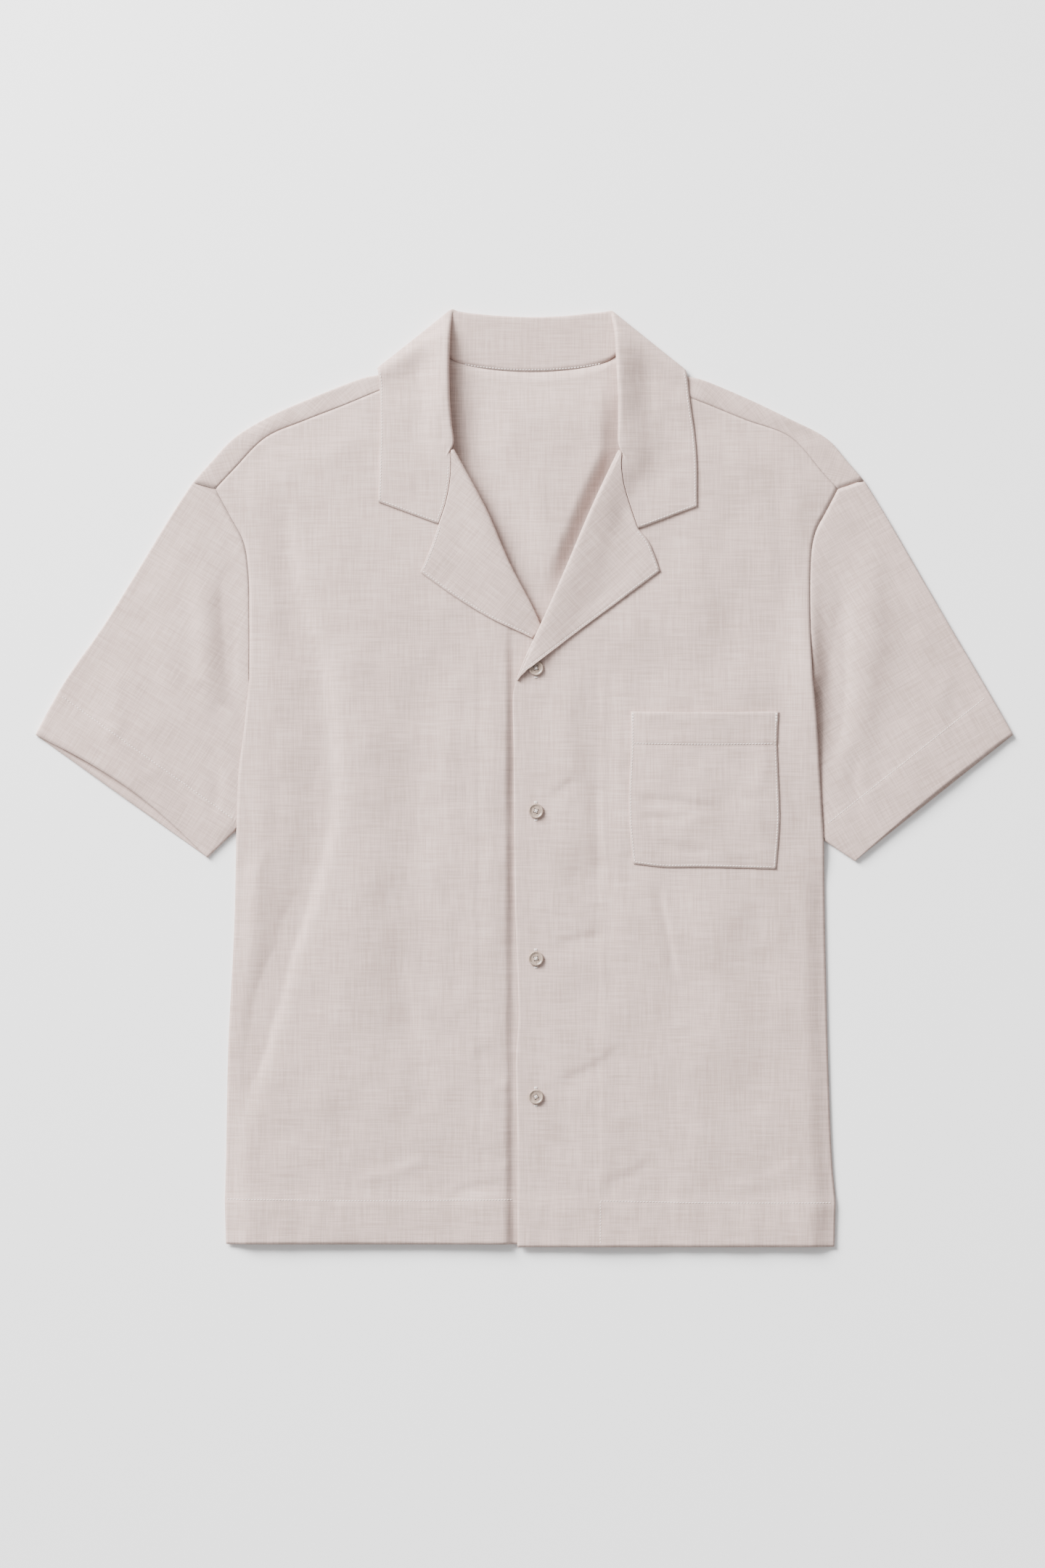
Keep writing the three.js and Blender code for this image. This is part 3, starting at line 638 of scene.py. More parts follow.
@dataclass(frozen=True)
class Weave:
    """A plain weave with thicker yarns here and there in both directions, as a node group.

    Sizes are in millimetres. The tones are what thick yarns, single yarns and uneven dye add to
    the colour, and the heights what the first two add to the relief.
    """

    yarn: float = 0.52
    slub_width: float = 0.95
    slub_length: float = 24.0
    broader: float = 0.43
    fine_share: float = 0.65
    slub_tone: float = 2.3
    yarn_tone: float = 0.02
    dye_tone: float = 0.5
    dye_scale: tuple[float, float, float] = (34.0, 21.0, 1.0)
    slub_height: float = 0.75
    yarn_height: float = 0.09

    def slubs(self, wires: Wiring, place: bpy.types.NodeSocket, across: bool) -> bpy.types.NodeSocket:
        """Where the thicker yarns of one direction run.

        Args:
            wires: the group's wiring.
            place: the place on the flat cut, in metres.
            across: whether the yarns run across the cut and not up it.

        Returns:
            A value near 0.5, higher on a thick yarn and lower on a thin one.
        """
        wide, long = 1 / (self.slub_width * METRE), 1 / (self.slub_length * METRE)
        scale = (long, wide, 1.0) if across else (wide, long, 1.0)
        fine = wires.noise(place, scale, 1.0)
        broad = wires.noise(place, tuple(v * self.broader for v in scale), 1.0)
        fine = wires.maths("MULTIPLY", fine, self.fine_share)
        return wires.maths("ADD", fine, wires.maths("MULTIPLY", broad, 1 - self.fine_share))

    def group(self) -> bpy.types.NodeTree:
        """The node group.

        Returns:
            The group, with colour, height and roughness as its outputs.
        """
        colour, number = "NodeSocketColor", "NodeSocketFloat"
        made = new_group(
            "slub weave",
            {"Place": "NodeSocketVector", "Light": colour, "Dark": colour},
            {"Colour": colour, "Height": number, "Roughness": number},
        )
        wires = Wiring(made)
        given, place = made.nodes["in"].outputs, made.nodes["in"].outputs["Place"]
        both = wires.maths("ADD", self.slubs(wires, place, False), self.slubs(wires, place, True))
        turns = (2 * math.pi / (self.yarn * METRE),) * 3
        yarns = wires.node("ShaderNodeVectorMath", {0: place, 1: turns}, operation="MULTIPLY").outputs[0]
        split = wires.node("ShaderNodeSeparateXYZ", {0: yarns}).outputs
        ribs = wires.maths("ADD", wires.maths("SINE", split[0]), wires.maths("SINE", split[1]))
        dye = wires.noise(place, self.dye_scale, 3.0)
        slub_tone = wires.maths("MULTIPLY_ADD", wires.maths("SUBTRACT", both, 1.0), self.slub_tone, 0.5)
        tone = wires.maths("ADD", slub_tone, wires.maths("MULTIPLY", ribs, self.yarn_tone))
        tone = wires.maths("ADD", tone, wires.maths("MULTIPLY_ADD", dye, self.dye_tone, -self.dye_tone / 2))
        # A Mix node has a set of sockets for each kind of data; the colour ones are linked here.
        shade = wires.node("ShaderNodeMix", {"Factor": tone}, data_type="RGBA")
        for end, socket in zip(("Dark", "Light"), [s for s in shade.inputs if s.type == "RGBA"]):
            made.links.new(given[end], socket)
        slub_rise = wires.maths("MULTIPLY", both, self.slub_height)
        wires.fill(
            made.nodes["out"],
            {
                "Colour": next(s for s in shade.outputs if s.type == "RGBA"),
                "Height": wires.maths("ADD", slub_rise, wires.maths("MULTIPLY", ribs, self.yarn_height)),
                "Roughness": wires.maths("MULTIPLY_ADD", both, -0.12, 0.98),
            },
        )
        return made


@dataclass(frozen=True)
class Finish:
    """A surface made of procedural nodes."""

    name: str

    def material(self) -> bpy.types.Material:
        """The finish as a material, built once.

        Returns:
            The material, new or built before.
        """
        if self.name in bpy.data.materials:
            return bpy.data.materials[self.name]
        made = bpy.data.materials.new(self.name)
        made.use_nodes = True
        wires = Wiring(made.node_tree)
        wires.fill(made.node_tree.nodes["Principled BSDF"], self.surface(wires))
        return made

    def surface(self, wires: Wiring) -> dict[str, object]:
        """The values and sockets of the surface's inputs."""
        raise NotImplementedError


@dataclass(frozen=True)
class ClothFinish(Finish):
    """Matt slub-weave cloth: the colours of its thick and thin yarns, its sheen and its relief."""

    light: Colour
    dark: Colour
    sheen: float = 0.12
    relief: float = 0.28

    def surface(self, wires: Wiring) -> dict[str, object]:
        """The values and sockets of the surface's inputs.

        Args:
            wires: the material's nodes.

        Returns:
            A value or a socket for each input's name.
        """
        place = wires.node("ShaderNodeAttribute", {}, attribute_name=GRAIN).outputs["Vector"]
        inputs = {"Place": place, "Light": (*self.light, 1.0), "Dark": (*self.dark, 1.0)}
        weave = wires.node("ShaderNodeGroup", inputs, node_tree=Weave().group()).outputs
        return {
            "Base Color": weave["Colour"],
            "Roughness": weave["Roughness"],
            "Normal": wires.bump(weave["Height"], self.relief, 0.00035),
            "Specular IOR Level": 0.25,
            "Sheen Weight": self.sheen,
            "Sheen Roughness": 0.5,
        }


@dataclass(frozen=True)
class ThreadFinish(Finish):
    """Sewing thread, twisted from two strands."""

    colour: Colour

    def surface(self, wires: Wiring) -> dict[str, object]:
        """The values and sockets of the surface's inputs.

        Args:
            wires: the material's nodes.

        Returns:
            A value or a socket for each input's name.
        """
        twist = wires.noise(wires.place(), (2600.0,) * 3, 2.0)
        dark = tuple(c * 0.78 for c in self.colour)
        return {
            "Base Color": wires.ramp(twist, (0.3, 0.7), dark, self.colour),
            "Normal": wires.bump(twist, 0.4, 0.0001),
            "Roughness": 0.62,
            "Sheen Weight": 0.2,
        }


@dataclass(frozen=True)
class ButtonFinish(Finish):
    """Beige horn-like plastic with cloudy streaks, semi-gloss."""

    light: Colour
    dark: Colour

    def surface(self, wires: Wiring) -> dict[str, object]:
        """The values and sockets of the surface's inputs.

        Args:
            wires: the material's nodes.

        Returns:
            A value or a socket for each input's name.
        """
        place = wires.place()
        streaks = wires.noise(place, (620.0, 190.0, 300.0), 4.0, 0.6)
        wear = wires.noise(place, (1500.0,) * 3, 3.0)
        return {
            "Base Color": wires.ramp(streaks, (0.32, 0.68), self.dark, self.light),
            "Roughness": wires.maths("MULTIPLY_ADD", wear, 0.16, 0.26),
            "Normal": wires.bump(wear, 0.08, 0.0002),
            "Coat Weight": 0.25,
            "Coat Roughness": 0.2,
            "Subsurface Weight": 0.15,
            "Subsurface Radius": (0.0012, 0.0009, 0.0007),
        }


@dataclass(frozen=True)
class FloorFinish(Finish):
    """A plain pale surface, hardly uneven in tone."""

    tone: float
    uneven: float = 0.006

    def surface(self, wires: Wiring) -> dict[str, object]:
        """The values and sockets of the surface's inputs.

        Args:
            wires: the material's nodes.

        Returns:
            A value or a socket for each input's name.
        """
        cloud = wires.noise(wires.place(), (1.6,) * 3, 1.0)
        value = wires.maths("MULTIPLY_ADD", cloud, self.uneven, self.tone - self.uneven / 2)
        paint = wires.node("ShaderNodeCombineColor", {0: value, 1: value, 2: value})
        return {"Base Color": paint.outputs[0], "Roughness": 0.9, "Specular IOR Level": 0.1}


CLOTH_FINISH = ClothFinish("slub cloth", light=(0.617, 0.467, 0.420), dark=(0.476, 0.351, 0.31))
THREAD_FINISH = ThreadFinish("sewing thread", colour=(0.88, 0.79, 0.745))
BUTTON_FINISH = ButtonFinish("horn plastic", light=(0.43, 0.325, 0.265), dark=(0.25, 0.185, 0.145))
FLOOR_FINISH = FloorFinish("pale ground", tone=0.97)


@dataclass(frozen=True)
class Side:
    """Seams and edges of one side in plan, as in the frame.

    The roll is where the lapel turns over, roll_z the height of the front there and roll_radius
    that of the turn; the gorge is where collar and lapel meet.
    """

    hand: Hand
    out: int
    shoulder_fold: Plan
    shoulder_seam: Plan
    armhole: Plan
    tucked_armhole: Plan
    side_over_sleeve: Plan
    side: Plan
    hem_corner: tuple[float, float]
    sleeve_fold: Plan
    cuff_top: tuple[float, float]
    cuff_under: tuple[float, float]
    cuff_arch: float
    neck_front: Plan
    neck_z: Sequence[float]
    roll: Plan
    roll_z: Sequence[float]
    roll_radius: Sequence[float]
    gorge: Plan
    lapel_top: Plan
    lapel_edge: Plan
    front_edge: Plan

    def inside(self) -> Grid:
        """The way from the seam beside the sleeve to the edge of the cloth, half a gap inside it."""
        return np.array([-self.out, 1.0, 0.0]) * SEAM_GAP / 2


RIGHT = Side(
    hand=Hand.RIGHT,
    out=-1,
    shoulder_fold=(
        (-283, 253), (-267, 271), (-249, 290), (-220, 308), (-177, 327), (-137, 342.2),
        (-122, 345.4), (-77, 363.5),
    ),
    shoulder_seam=((-264, 247), (-248, 264), (-221, 291), (-189, 305), (-158, 317), (-124, 331), (-82, 349)),
    armhole=((-264, 247), (-251, 223), (-240, 202), (-236, 178), (-235, 130), (-235, 85)),
    tucked_armhole=((-235, 85), (-229, 50), (-228, 10), (-234, -20), (-246, -44)),
    side_over_sleeve=((-235, 85), (-240, 38), (-244, 7), (-246, -44)),
    side=((-246, -44), (-248, -129), (-253, -228), (-255, -327), (-256, -360)),
    hem_corner=(-255, HEM_RIGHT_Y),
    sleeve_fold=((-283, 253), (-302, 224), (-328, 181), (-359, 131), (-393, 82), (-418, 37)),
    cuff_top=(-418, 37),
    cuff_under=(-271, -68),
    cuff_arch=9,
    neck_front=((-82, 349), (-77, 325), (-71, 300), (-64, 281)),
    neck_z=(4.4, 5.8, 7.4, 8.6),
    roll=((-60, 281), (-32, 229), (-12, 183), (8, 145), (16, 127)),
    roll_z=(8.6, 8, 6.4, 4.4, 2.6),
    roll_radius=(2.3, 2.2, 1.9, 1.3, 0.9),
    gorge=((-63, 279.5), (-62.5, 268), (-63.5, 252), (-67, 235), (-73, 217)),
    lapel_top=((-73, 217), (-80, 197), (-89, 176)),
    lapel_edge=((-89, 176), (-61, 156), (-28, 136), (0, 123), (8, 119)),
    front_edge=((16, 127), (22, 110), (27, 92), (27, -100), (27, -250), (27, -360)),
)

LEFT = Side(
    hand=Hand.LEFT,
    out=1,
    shoulder_fold=(
        (290, 255), (276, 271), (259, 290), (225, 308), (185, 327), (149, 341.4), (135, 344), (90, 363.5),
    ),
    shoulder_seam=((268, 247), (256, 260), (228, 291), (189, 306), (162, 317), (140, 326), (97, 349)),
    armhole=((268, 247), (257, 226), (250, 213), (246, 198), (244, 140), (246, 88)),
    tucked_armhole=((246, 88), (241, 50), (240, 0), (245, -30), (256, -53)),
    side_over_sleeve=((246, 88), (250, 45), (253, -5), (256, -53)),
    side=((256, -53), (257, -129), (260, -253), (263, -327), (266, -362)),
    hem_corner=(265, HEM_LEFT_Y),
    sleeve_fold=((290, 255), (309, 224), (334, 181), (363, 131), (392, 82), (418, 37)),
    cuff_top=(418, 37),
    cuff_under=(283, -71),
    cuff_arch=2,
    neck_front=((97, 349), (93, 325), (88, 300), (82, 281)),
    neck_z=(4.4, 5.8, 7.4, 8.6),
    roll=((80, 280), (57, 231), (34, 177), (14, 132), (1, 104), (-7, 84)),
    roll_z=(8.6, 8.4, 7.8, 7, 5.9, 4.9),
    roll_radius=(2.3, 2.3, 2.0, 1.6, 1.2, 0.9),
    gorge=((83, 278.5), (82.5, 267), (85, 250), (90.5, 232), (97, 213)),
    lapel_top=((97, 213), (106, 202), (116, 177)),
    lapel_edge=((116, 177), (77, 148), (47, 126), (22, 107), (-2, 89)),
    front_edge=((-7, 84), (-9, 76), (-9, 20), (-8, -104), (-5, -203), (-7, -240), (-6, -302), (-6, -362)),
)

# The folds of the fronts: line, width, rise, far and taper. The first of each table are the frame's own.
RIGHT_FOLDS = creases(
    ([(-209, 255), (-200, 169), (-169, 57), (-172, -55), (-200, -141), (-245, -300)], 9, -3.9, 27, 0.12),
    ([(-160, 250), (-140, 90), (-140, -120), (-160, -250)], 24, 1.5, 0, 0.12),
    ([(-222, 120), (-228, -40), (-232, -180)], 12, 1.0, 0, 0.12),
    ([(-85, 120), (-95, -80), (-70, -260)], 15, -1.5, 30, 0.2),
    ([(-232, 230), (-226, 170), (-212, 120)], 12, 1.1, 9),
    ([(-205, 240), (-196, 165), (-172, 70), (-168, -30)], 6, -0.7, 14),
    ([(-176, -60), (-204, -150), (-232, -250), (-250, -334)], 8, -1.2, 14),
    ([(-146, -342), (-112, -336), (-80, -323)], 5, 0.9, 7),
    ([(-39, -226), (-27, -240), (-14, -262)], 5, -1.1, 9),
    ([(-66, -356), (-38, -349), (-14, -347)], 4, -0.9, 7),
    ([(-40, -318), (-26, -322), (-14, -330)], 4, -0.6, 6),
    ([(-113, -129), (-98, -210), (-76, -284)], 9, -1.5, 18),
    ([(-155, 200), (-128, 120), (-122, 30)], 10, -0.9, 18),
    ([(-60, 100), (-66, 10), (-58, -70)], 12, 0.7, 7),
    ([(-222, 60), (-214, -20), (-216, -90)], 7, -0.6, 12),
    ([(-190, -215), (-170, -280), (-172, -345)], 8, 0.7, 14),
    ([(-46, -110), (-60, -150), (-56, -196)], 6, -0.5, 10),
    ([(-34, -25), (-60, -20), (-88, -26)], 5, -0.35, 7),
)
LEFT_FOLDS = creases(
    ([(215, 280), (226, 160), (236, 60)], 16, -1.2, 10, 0.2),
    ([(170, 250), (150, 120), (160, -120), (180, -280)], 26, 1.1, 0, 0.12),
    ([(24, -98), (60, -78), (110, -62)], 16, -1.0, 22),
    ([(26, -200), (62, -182), (98, -152)], 18, -1.1, 24),
    ([(73, 110), (70, -60), (72, -200)], 9, -1.1, 20, 0.12),
    ([(40, 100), (36, 40), (44, -20)], 12, 0.6, 16),
    ([(11, -19), (28, -12), (46, 1)], 4, -1.0, 8),
    ([(-5, -129), (9, -122), (23, -110)], 3, -0.7, 6),
    ([(20, -146), (45, -138), (72, -133)], 5, -1.1, 10),
    ([(24, -262), (56, -249), (88, -227)], 4.5, -1.1, 12),
    ([(18, -294), (42, -321), (67, -347)], 8, -1.3, 5),
    ([(64, -347), (88, -341), (112, -326)], 5, -0.9, 9),
    ([(113, -86), (122, -130), (131, -176)], 3, -1.2, 6),
    ([(60, -5), (63, -50), (67, -98)], 4, -1.0, 7),
    ([(168, -353), (206, -342), (244, -322)], 5, 0.8, 9),
    ([(240, 60), (234, -40), (238, -150)], 8, -0.7, 13),
    ([(196, -90), (206, -190), (196, -280)], 10, -0.8, 18),
    ([(130, -200), (150, -260), (146, -330)], 10, 0.7, 16),
    ([(150, 190), (176, 130), (182, 78)], 9, -0.8, 18),
    ([(66, -364), (80, -379), (94, -397)], 4, -0.9, 7),
    ([(64.5, -362), (64.5, -398)], 1.3, -0.45, 0, 0.1),
    *(([(-7, y), (8, y + 3)], 3, -0.4, 0, 0.4) for y in (-48, -61, -123, -135, -241, -315, -327, -340)),
)


@dataclass(frozen=True)
class Body:
    """Heights that the whole body shares."""

    over_y: tuple[float, float] = (296.0, 326.0)
    over_right: tuple[float, float] = (-158.0, -130.0)
    over_left: tuple[float, float] = (172.0, 144.0)
    fall: float = 1.5

    def neck_lift(self, x: Grid, y: Grid) -> Grid:
        """How far the body is lifted over the collar's fall, which lies under it behind the neck."""
        return self.fall * smooth(*self.over_y, y) * smooth(*self.over_right, x) * smooth(*self.over_left, x)


BODY = Body()


@dataclass
class Front(Panel):
    """A front with its facing and lapel, cut in one: the lapel turns over at the roll.

    puff is how much higher it stands beside the armhole, and each reach how far a height that is
    set at an edge is felt.
    """

    side: Side
    folds: Sequence[Crease]
    lapel_folds: Sequence[Crease]
    seed: int
    facing_edge: Plan
    puff: float
    armhole_reach: float = 34
    side_reach: float = 20
    shoulder_reach: float = 40
    neck_reach: float = 34
    roll_reach: float = 48
    lowest_z: float = 1.9
    tucked_z: float = 2.7
    lapped_z: float = 4.9
    over_tucked_z: float = 4.1
    button_seat: float = 0.4
    over_button: float = 2.6
    facing_rise: float = 0.3
    shoulder_count: int = 44
    neck_count: int = 15
    gorge_count: int = 24
    lapel_top_count: int = 12
    lapel_edge_count: int = 36
    rows: tuple[int, int, int] = (100, 46, 84)
    hem_rows: int = 15
    ply_count: int = 26
    turn_count: int = 8

    @property
    def roll_count(self) -> int:
        """The number of steps along the roll."""
        return self.gorge_count + self.lapel_top_count + self.lapel_edge_count

    def over_hem(self, y: Grid) -> Grid:
        """How much of the rise over a hem a place has."""
        top = self.side.hem_corner[1] + HEM_DEPTH
        return HEM_LIFT * smooth(top + 8, top, y)

    def laid(self, x: Grid, y: Grid, z: Grid) -> Grid:
        """Sets the front's own edge: the right one lies low under the left one, which laps over it.

        Args:
            x: the places' first coordinates.
            y: the places' second coordinates.
            z: their heights.

        Returns:
            The heights with the placket laid down and, on the left, dented under each button.
        """
        if self.side.hand is Hand.RIGHT:
            beside = z + 0.5 * bell(x + 28, 9) * smooth(118, 60, y)
            return mix(beside, self.tucked_z, smooth(-17, -9.5, x) * smooth(150, 100, y))
        lifted = mix(np.maximum(z, self.over_tucked_z), z, smooth(34, 60, x))
        level = mix(self.lapped_z, lifted, smooth(8, 44, x))
        seats = np.max([bell(np.hypot(x - BUTTON_X, y - seat), 12) for seat in BUTTON_YS], axis=0)
        return mix(level, lifted, smooth(60, 86, y)) - self.button_seat * seats

    def from_edges(self, x: Grid, y: Grid) -> tuple[Grid, Grid]:
        """How far places are from the shoulder seam, and from the armhole and the side.

        Args:
            x: the places' first coordinates.
            y: the places' second coordinates.

        Returns:
            The two distances at each place.
        """
        s = self.side
        outer = joined(s.armhole, s.side_over_sleeve, s.side, (None, s.hem_corner))
        return nearest(s.shoulder_seam, x, y)[0], nearest(outer, x, y)[0]

    def height(self, x: Grid, y: Grid) -> Grid:
        """Middle of the front's cloth, with its folds and its small relief."""
        return self.base(x, y) + self.relief(x, y)

    def base(self, x: Grid, y: Grid) -> Grid:
        """Middle of the front's cloth with its folds, which what lies on it follows.

        Args:
            x: the places' first coordinates.
            y: the places' second coordinates.

        Returns:
            The height at each place.
        """
        s = self.side
        lift = BODY.neck_lift(x, y)
        from_seam, from_edge = self.from_edges(x, y)
        z = FRONT_BELLY + FRONT_LOFT + lift
        for fold in self.folds:
            z = z + fold.height(x, y)
        z = z + Undulation(self.seed).height(x, y) * smooth(0, 30, from_edge)
        top = s.side_over_sleeve[0][1]
        over_sleeve = smooth(top + 40, top, y)
        below_sleeve = smooth(s.side[0][1] - 4, s.side[0][1] - 40, y)
        beside = mix(UPPER_PLY_Z, SLEEVE_LIFT_Z, over_sleeve)
        beside = beside + self.puff * bell(y - PUFF_Y, PUFF_REACH)
        at_edge = mix(beside, FRAME_CLOTH * 1.5 + LAID, below_sleeve)
        inward = from_edge / mix(self.armhole_reach, self.side_reach, below_sleeve)
        z = mix(at_edge, z, smooth(0, 1, inward))
        z = mix(UPPER_PLY_Z + lift, z, smooth(0, self.shoulder_reach, from_seam))
        for line, heights, reach in (
            (s.neck_front, s.neck_z, self.neck_reach),
            (s.roll, s.roll_z, self.roll_reach),
        ):
            distance, at, _ = nearest(line, x, y)
            z = mix(read_along(heights, at), z, smooth(0, reach, distance))
        return self.laid(x, y, np.maximum(z, self.lowest_z)) + self.over_hem(y)

    def relief(self, x: Grid, y: Grid) -> Grid:
        """Small relief of seams, hem stitching and the facing's edge pressing through.

        Args:
            x: the places' first coordinates.
            y: the places' second coordinates.

        Returns:
            The height to add at each place.
        """
        s = self.side
        from_seam, from_edge = self.from_edges(x, y)
        hem = y - (s.hem_corner[1] + HEM_DEPTH)
        ripple = pucker(x, 2.3, 1.7, 17.0) * (0.6 + 0.4 * np.sin(x / 29.0 + self.seed))
        z = -0.3 * bell(hem, 1.5) + 0.13 * ripple * bell(hem + 3, 9)
        z = z + 0.25 * pucker(x, 4.9, 2.1, 31.0) * bell(hem + 22, 15)
        distance, at, side = nearest(self.facing_edge, x, y)
        ends = smooth(0, 0.1, at) * smooth(1, 0.9, at)
        z = z + self.facing_rise * s.out * ends * side * np.exp(-distance / 9.0) * (1 - bell(distance, 1.2))
        sewn = 0.2 * bell(from_edge, 1.8) * smooth(s.side[0][1] - 30, s.side[0][1], y)
        return z - seam_line_dip(from_seam) - sewn

    def grid(self) -> Grid:
        """The front's points, from its hem up to its shoulder seam, neckline and lapel's roll.

        Returns:
            Rows of points from the hem to the top, each from the side to the front edge.
        """
        s = self.side
        roll_line = curve(s.roll, self.roll_count)
        inset = -read_along(s.roll_radius, steps(self.roll_count)) - LAPEL_CLOTH / 2
        roll = moved(roll_line, sideways(roll_line, -s.out), inset)
        seam_line = curve(s.shoulder_seam, self.shoulder_count)
        seam = moved(seam_line, sideways(seam_line, s.out), SEAM_GAP / 2)
        neck = curve([seam[-1][:2], *s.neck_front[1:-1], roll[0][:2]], self.neck_count)
        top = chain(seam, neck, roll)
        outer = np.vstack([body_edge(s, s.hem_corner[1], self.rows, self.hem_rows)[:-1], top[:1]])
        foot = s.front_edge[-1][0]
        hem_top = s.hem_corner[1] + HEM_DEPTH
        opening = [roll[-1][:2], *s.front_edge[1:-1], (foot, hem_top)]
        upper = curve(opening, len(outer) - self.hem_rows - 1)[::-1]
        edge = chain(curve([(foot, s.hem_corner[1]), (foot, hem_top)], self.hem_rows), upper)
        bottom = curve([outer[0][:2], (foot, s.hem_corner[1])], len(top) - 1)
        flat = sheet_over(bottom, top, outer, edge)
        flat[..., 2] = self.height(flat[..., 0], flat[..., 1])
        return flat

    def turn_line(self) -> Grid:
        """The line where collar and lapel turn over, with the height on top of the turn.

        Returns:
            The line's points.
        """
        s = self.side
        own = [c for c in COLLAR_SECTIONS if c[4] and c[3] < 0 and (c[1][0] > 0) == (s.out > 0)]
        collar = [(c[1][0], c[1][1], c[1][2] + 1.25 * c[4] + COLLAR_LOFT) for c in own]
        lapel = [(x, y, z + 2 * r) for (x, y), z, r in zip(s.roll, s.roll_z, s.roll_radius)]
        return np.array([*(collar[::-1] if s.out < 0 else collar), *lapel], float)

    def draped(self, cloth: float, x: Grid, y: Grid) -> Grid:
        """Middle of cloth that is turned over that line and comes to lie on the front.

        Args:
            cloth: the turned cloth's thickness.
            x: the places' first coordinates.
            y: the places' second coordinates.

        Returns:
            The height at each place.
        """
        line = self.turn_line()
        distance, at, _ = nearest(line, x, y)
        bed = self.base(x, y) + (FRAME_CLOTH + cloth) / 2 + LAID
        return mix(np.maximum(read_along(line[:, 2], at), bed), bed, smooth(0, DRAPE_REACH, distance))

    def mirrored(self, points: Grid) -> Grid:
        """Where points of the lapel lie on the flat cut, turned back over the roll.

        Args:
            points: the lapel's points.

        Returns:
            Their places on the flat cut.
        """
        a, b = np.array(self.side.roll[0], float), np.array(self.side.roll[-1], float)
        along = (b - a) / np.linalg.norm(b - a)
        off = points[..., :2] - a
        flat = np.zeros_like(points)
        flat[..., :2] = a + 2 * (off @ along)[..., None] * along - off
        return flat

    def plies(self) -> list[Ply]:
        """The front's sheet, and the lapel with the turn at the roll.

        Returns:
            The plies that its wall is made of.
        """
        s = self.side
        grid = self.grid()
        roll = grid[-1][-self.roll_count - 1 :]
        outward = sideways(curve(s.roll, self.roll_count), -s.out)
        upper = roll.copy()
        upper[:, 2] += 2 * read_along(s.roll_radius, steps(self.roll_count))
        gorge = np.vstack([roll[:1], curve(s.gorge, self.gorge_count)[1:]])
        free = curve(s.lapel_top, self.lapel_top_count), curve(s.lapel_edge, self.lapel_edge_count)
        ply = mix(upper[None], chain(gorge, *free)[None], steps(self.ply_count, 1)[:, None, None] ** 0.9)
        x, y = ply[..., 0], ply[..., 1]
        ply[..., 2] = self.draped(LAPEL_CLOTH, x, y) + self.lapel_relief(x, y)
        ply[:, 0] = upper[0]
        turn = turn_over(roll, upper, outward, self.turn_count)
        lapel = np.concatenate([roll[None], turn, upper[None], ply])
        sheet = Ply(grid, hemmed(grid[..., 1] - s.hem_corner[1] - HEM_DEPTH), on_plan(grid))
        return [sheet, Ply(lapel, LAPEL_CLOTH, self.mirrored(lapel))]

    def lapel_relief(self, x: Grid, y: Grid) -> Grid:
        """Small relief of the lapel: its stitched edge, its soft folds and the rise over the top button.

        Args:
            x: the places' first coordinates.
            y: the places' second coordinates.

        Returns:
            The height to add at each place.
        """
        s = self.side
        free = nearest(joined(s.lapel_top, s.lapel_edge), x, y)[0]
        z = -0.25 * bell(free - 2.0, 0.9) + 0.05 * np.sin(x / 1.9 + y / 2.7) * bell(free, 7)
        for fold in self.lapel_folds:
            z = z + fold.height(x, y)
        if s.hand is Hand.LEFT:
            z = z + self.over_button * bell(np.hypot(x - BUTTON_X, y - BUTTON_YS[0]), 14)
        return z + 0.5 * Undulation(self.seed + 40).height(x, y) * smooth(0, 20, free)


LAPEL_FOLDS = {
    Hand.RIGHT: creases(
        ([(-58, 258), (-52, 215), (-64, 180)], 5, -0.35, 9),
        ([(-40, 205), (-30, 170), (-6, 138)], 7, 0.3, 5),
        ([(-78, 186), (-60, 176), (-30, 150)], 4, -0.3, 7),
    ),
    Hand.LEFT: creases(
        ([(76, 262), (82, 225), (98, 196)], 5, -0.3, 9),
        ([(60, 214), (62, 180), (42, 140)], 8, 0.3, 6),
        ([(104, 190), (84, 172), (50, 142)], 4, -0.25, 7),
    ),
}


def body_edge(s: Side, hem_y: float, rows: tuple[int, int, int], hem_rows: int) -> Grid:
    """The body's outer edge in plan from the hem up to the end of the shoulder seam.

    Args:
        s: the side.
        hem_y: the hem's lower edge.
        rows: the numbers of steps up the side, past the sleeve and up the armhole.
        hem_rows: the number of steps up the hem.

    Returns:
        The edge's points, half a seam gap inside the seam.
    """
    hem_top = (s.side[-1][0], hem_y + HEM_DEPTH)
    edge = chain(
        curve([(s.hem_corner[0], hem_y), hem_top], hem_rows),
        curve([*s.side[:-1], hem_top][::-1], rows[0]),
        curve(s.side_over_sleeve[::-1], rows[1]),
        curve(s.armhole[::-1], rows[2]),
    )
    return edge + s.inside()


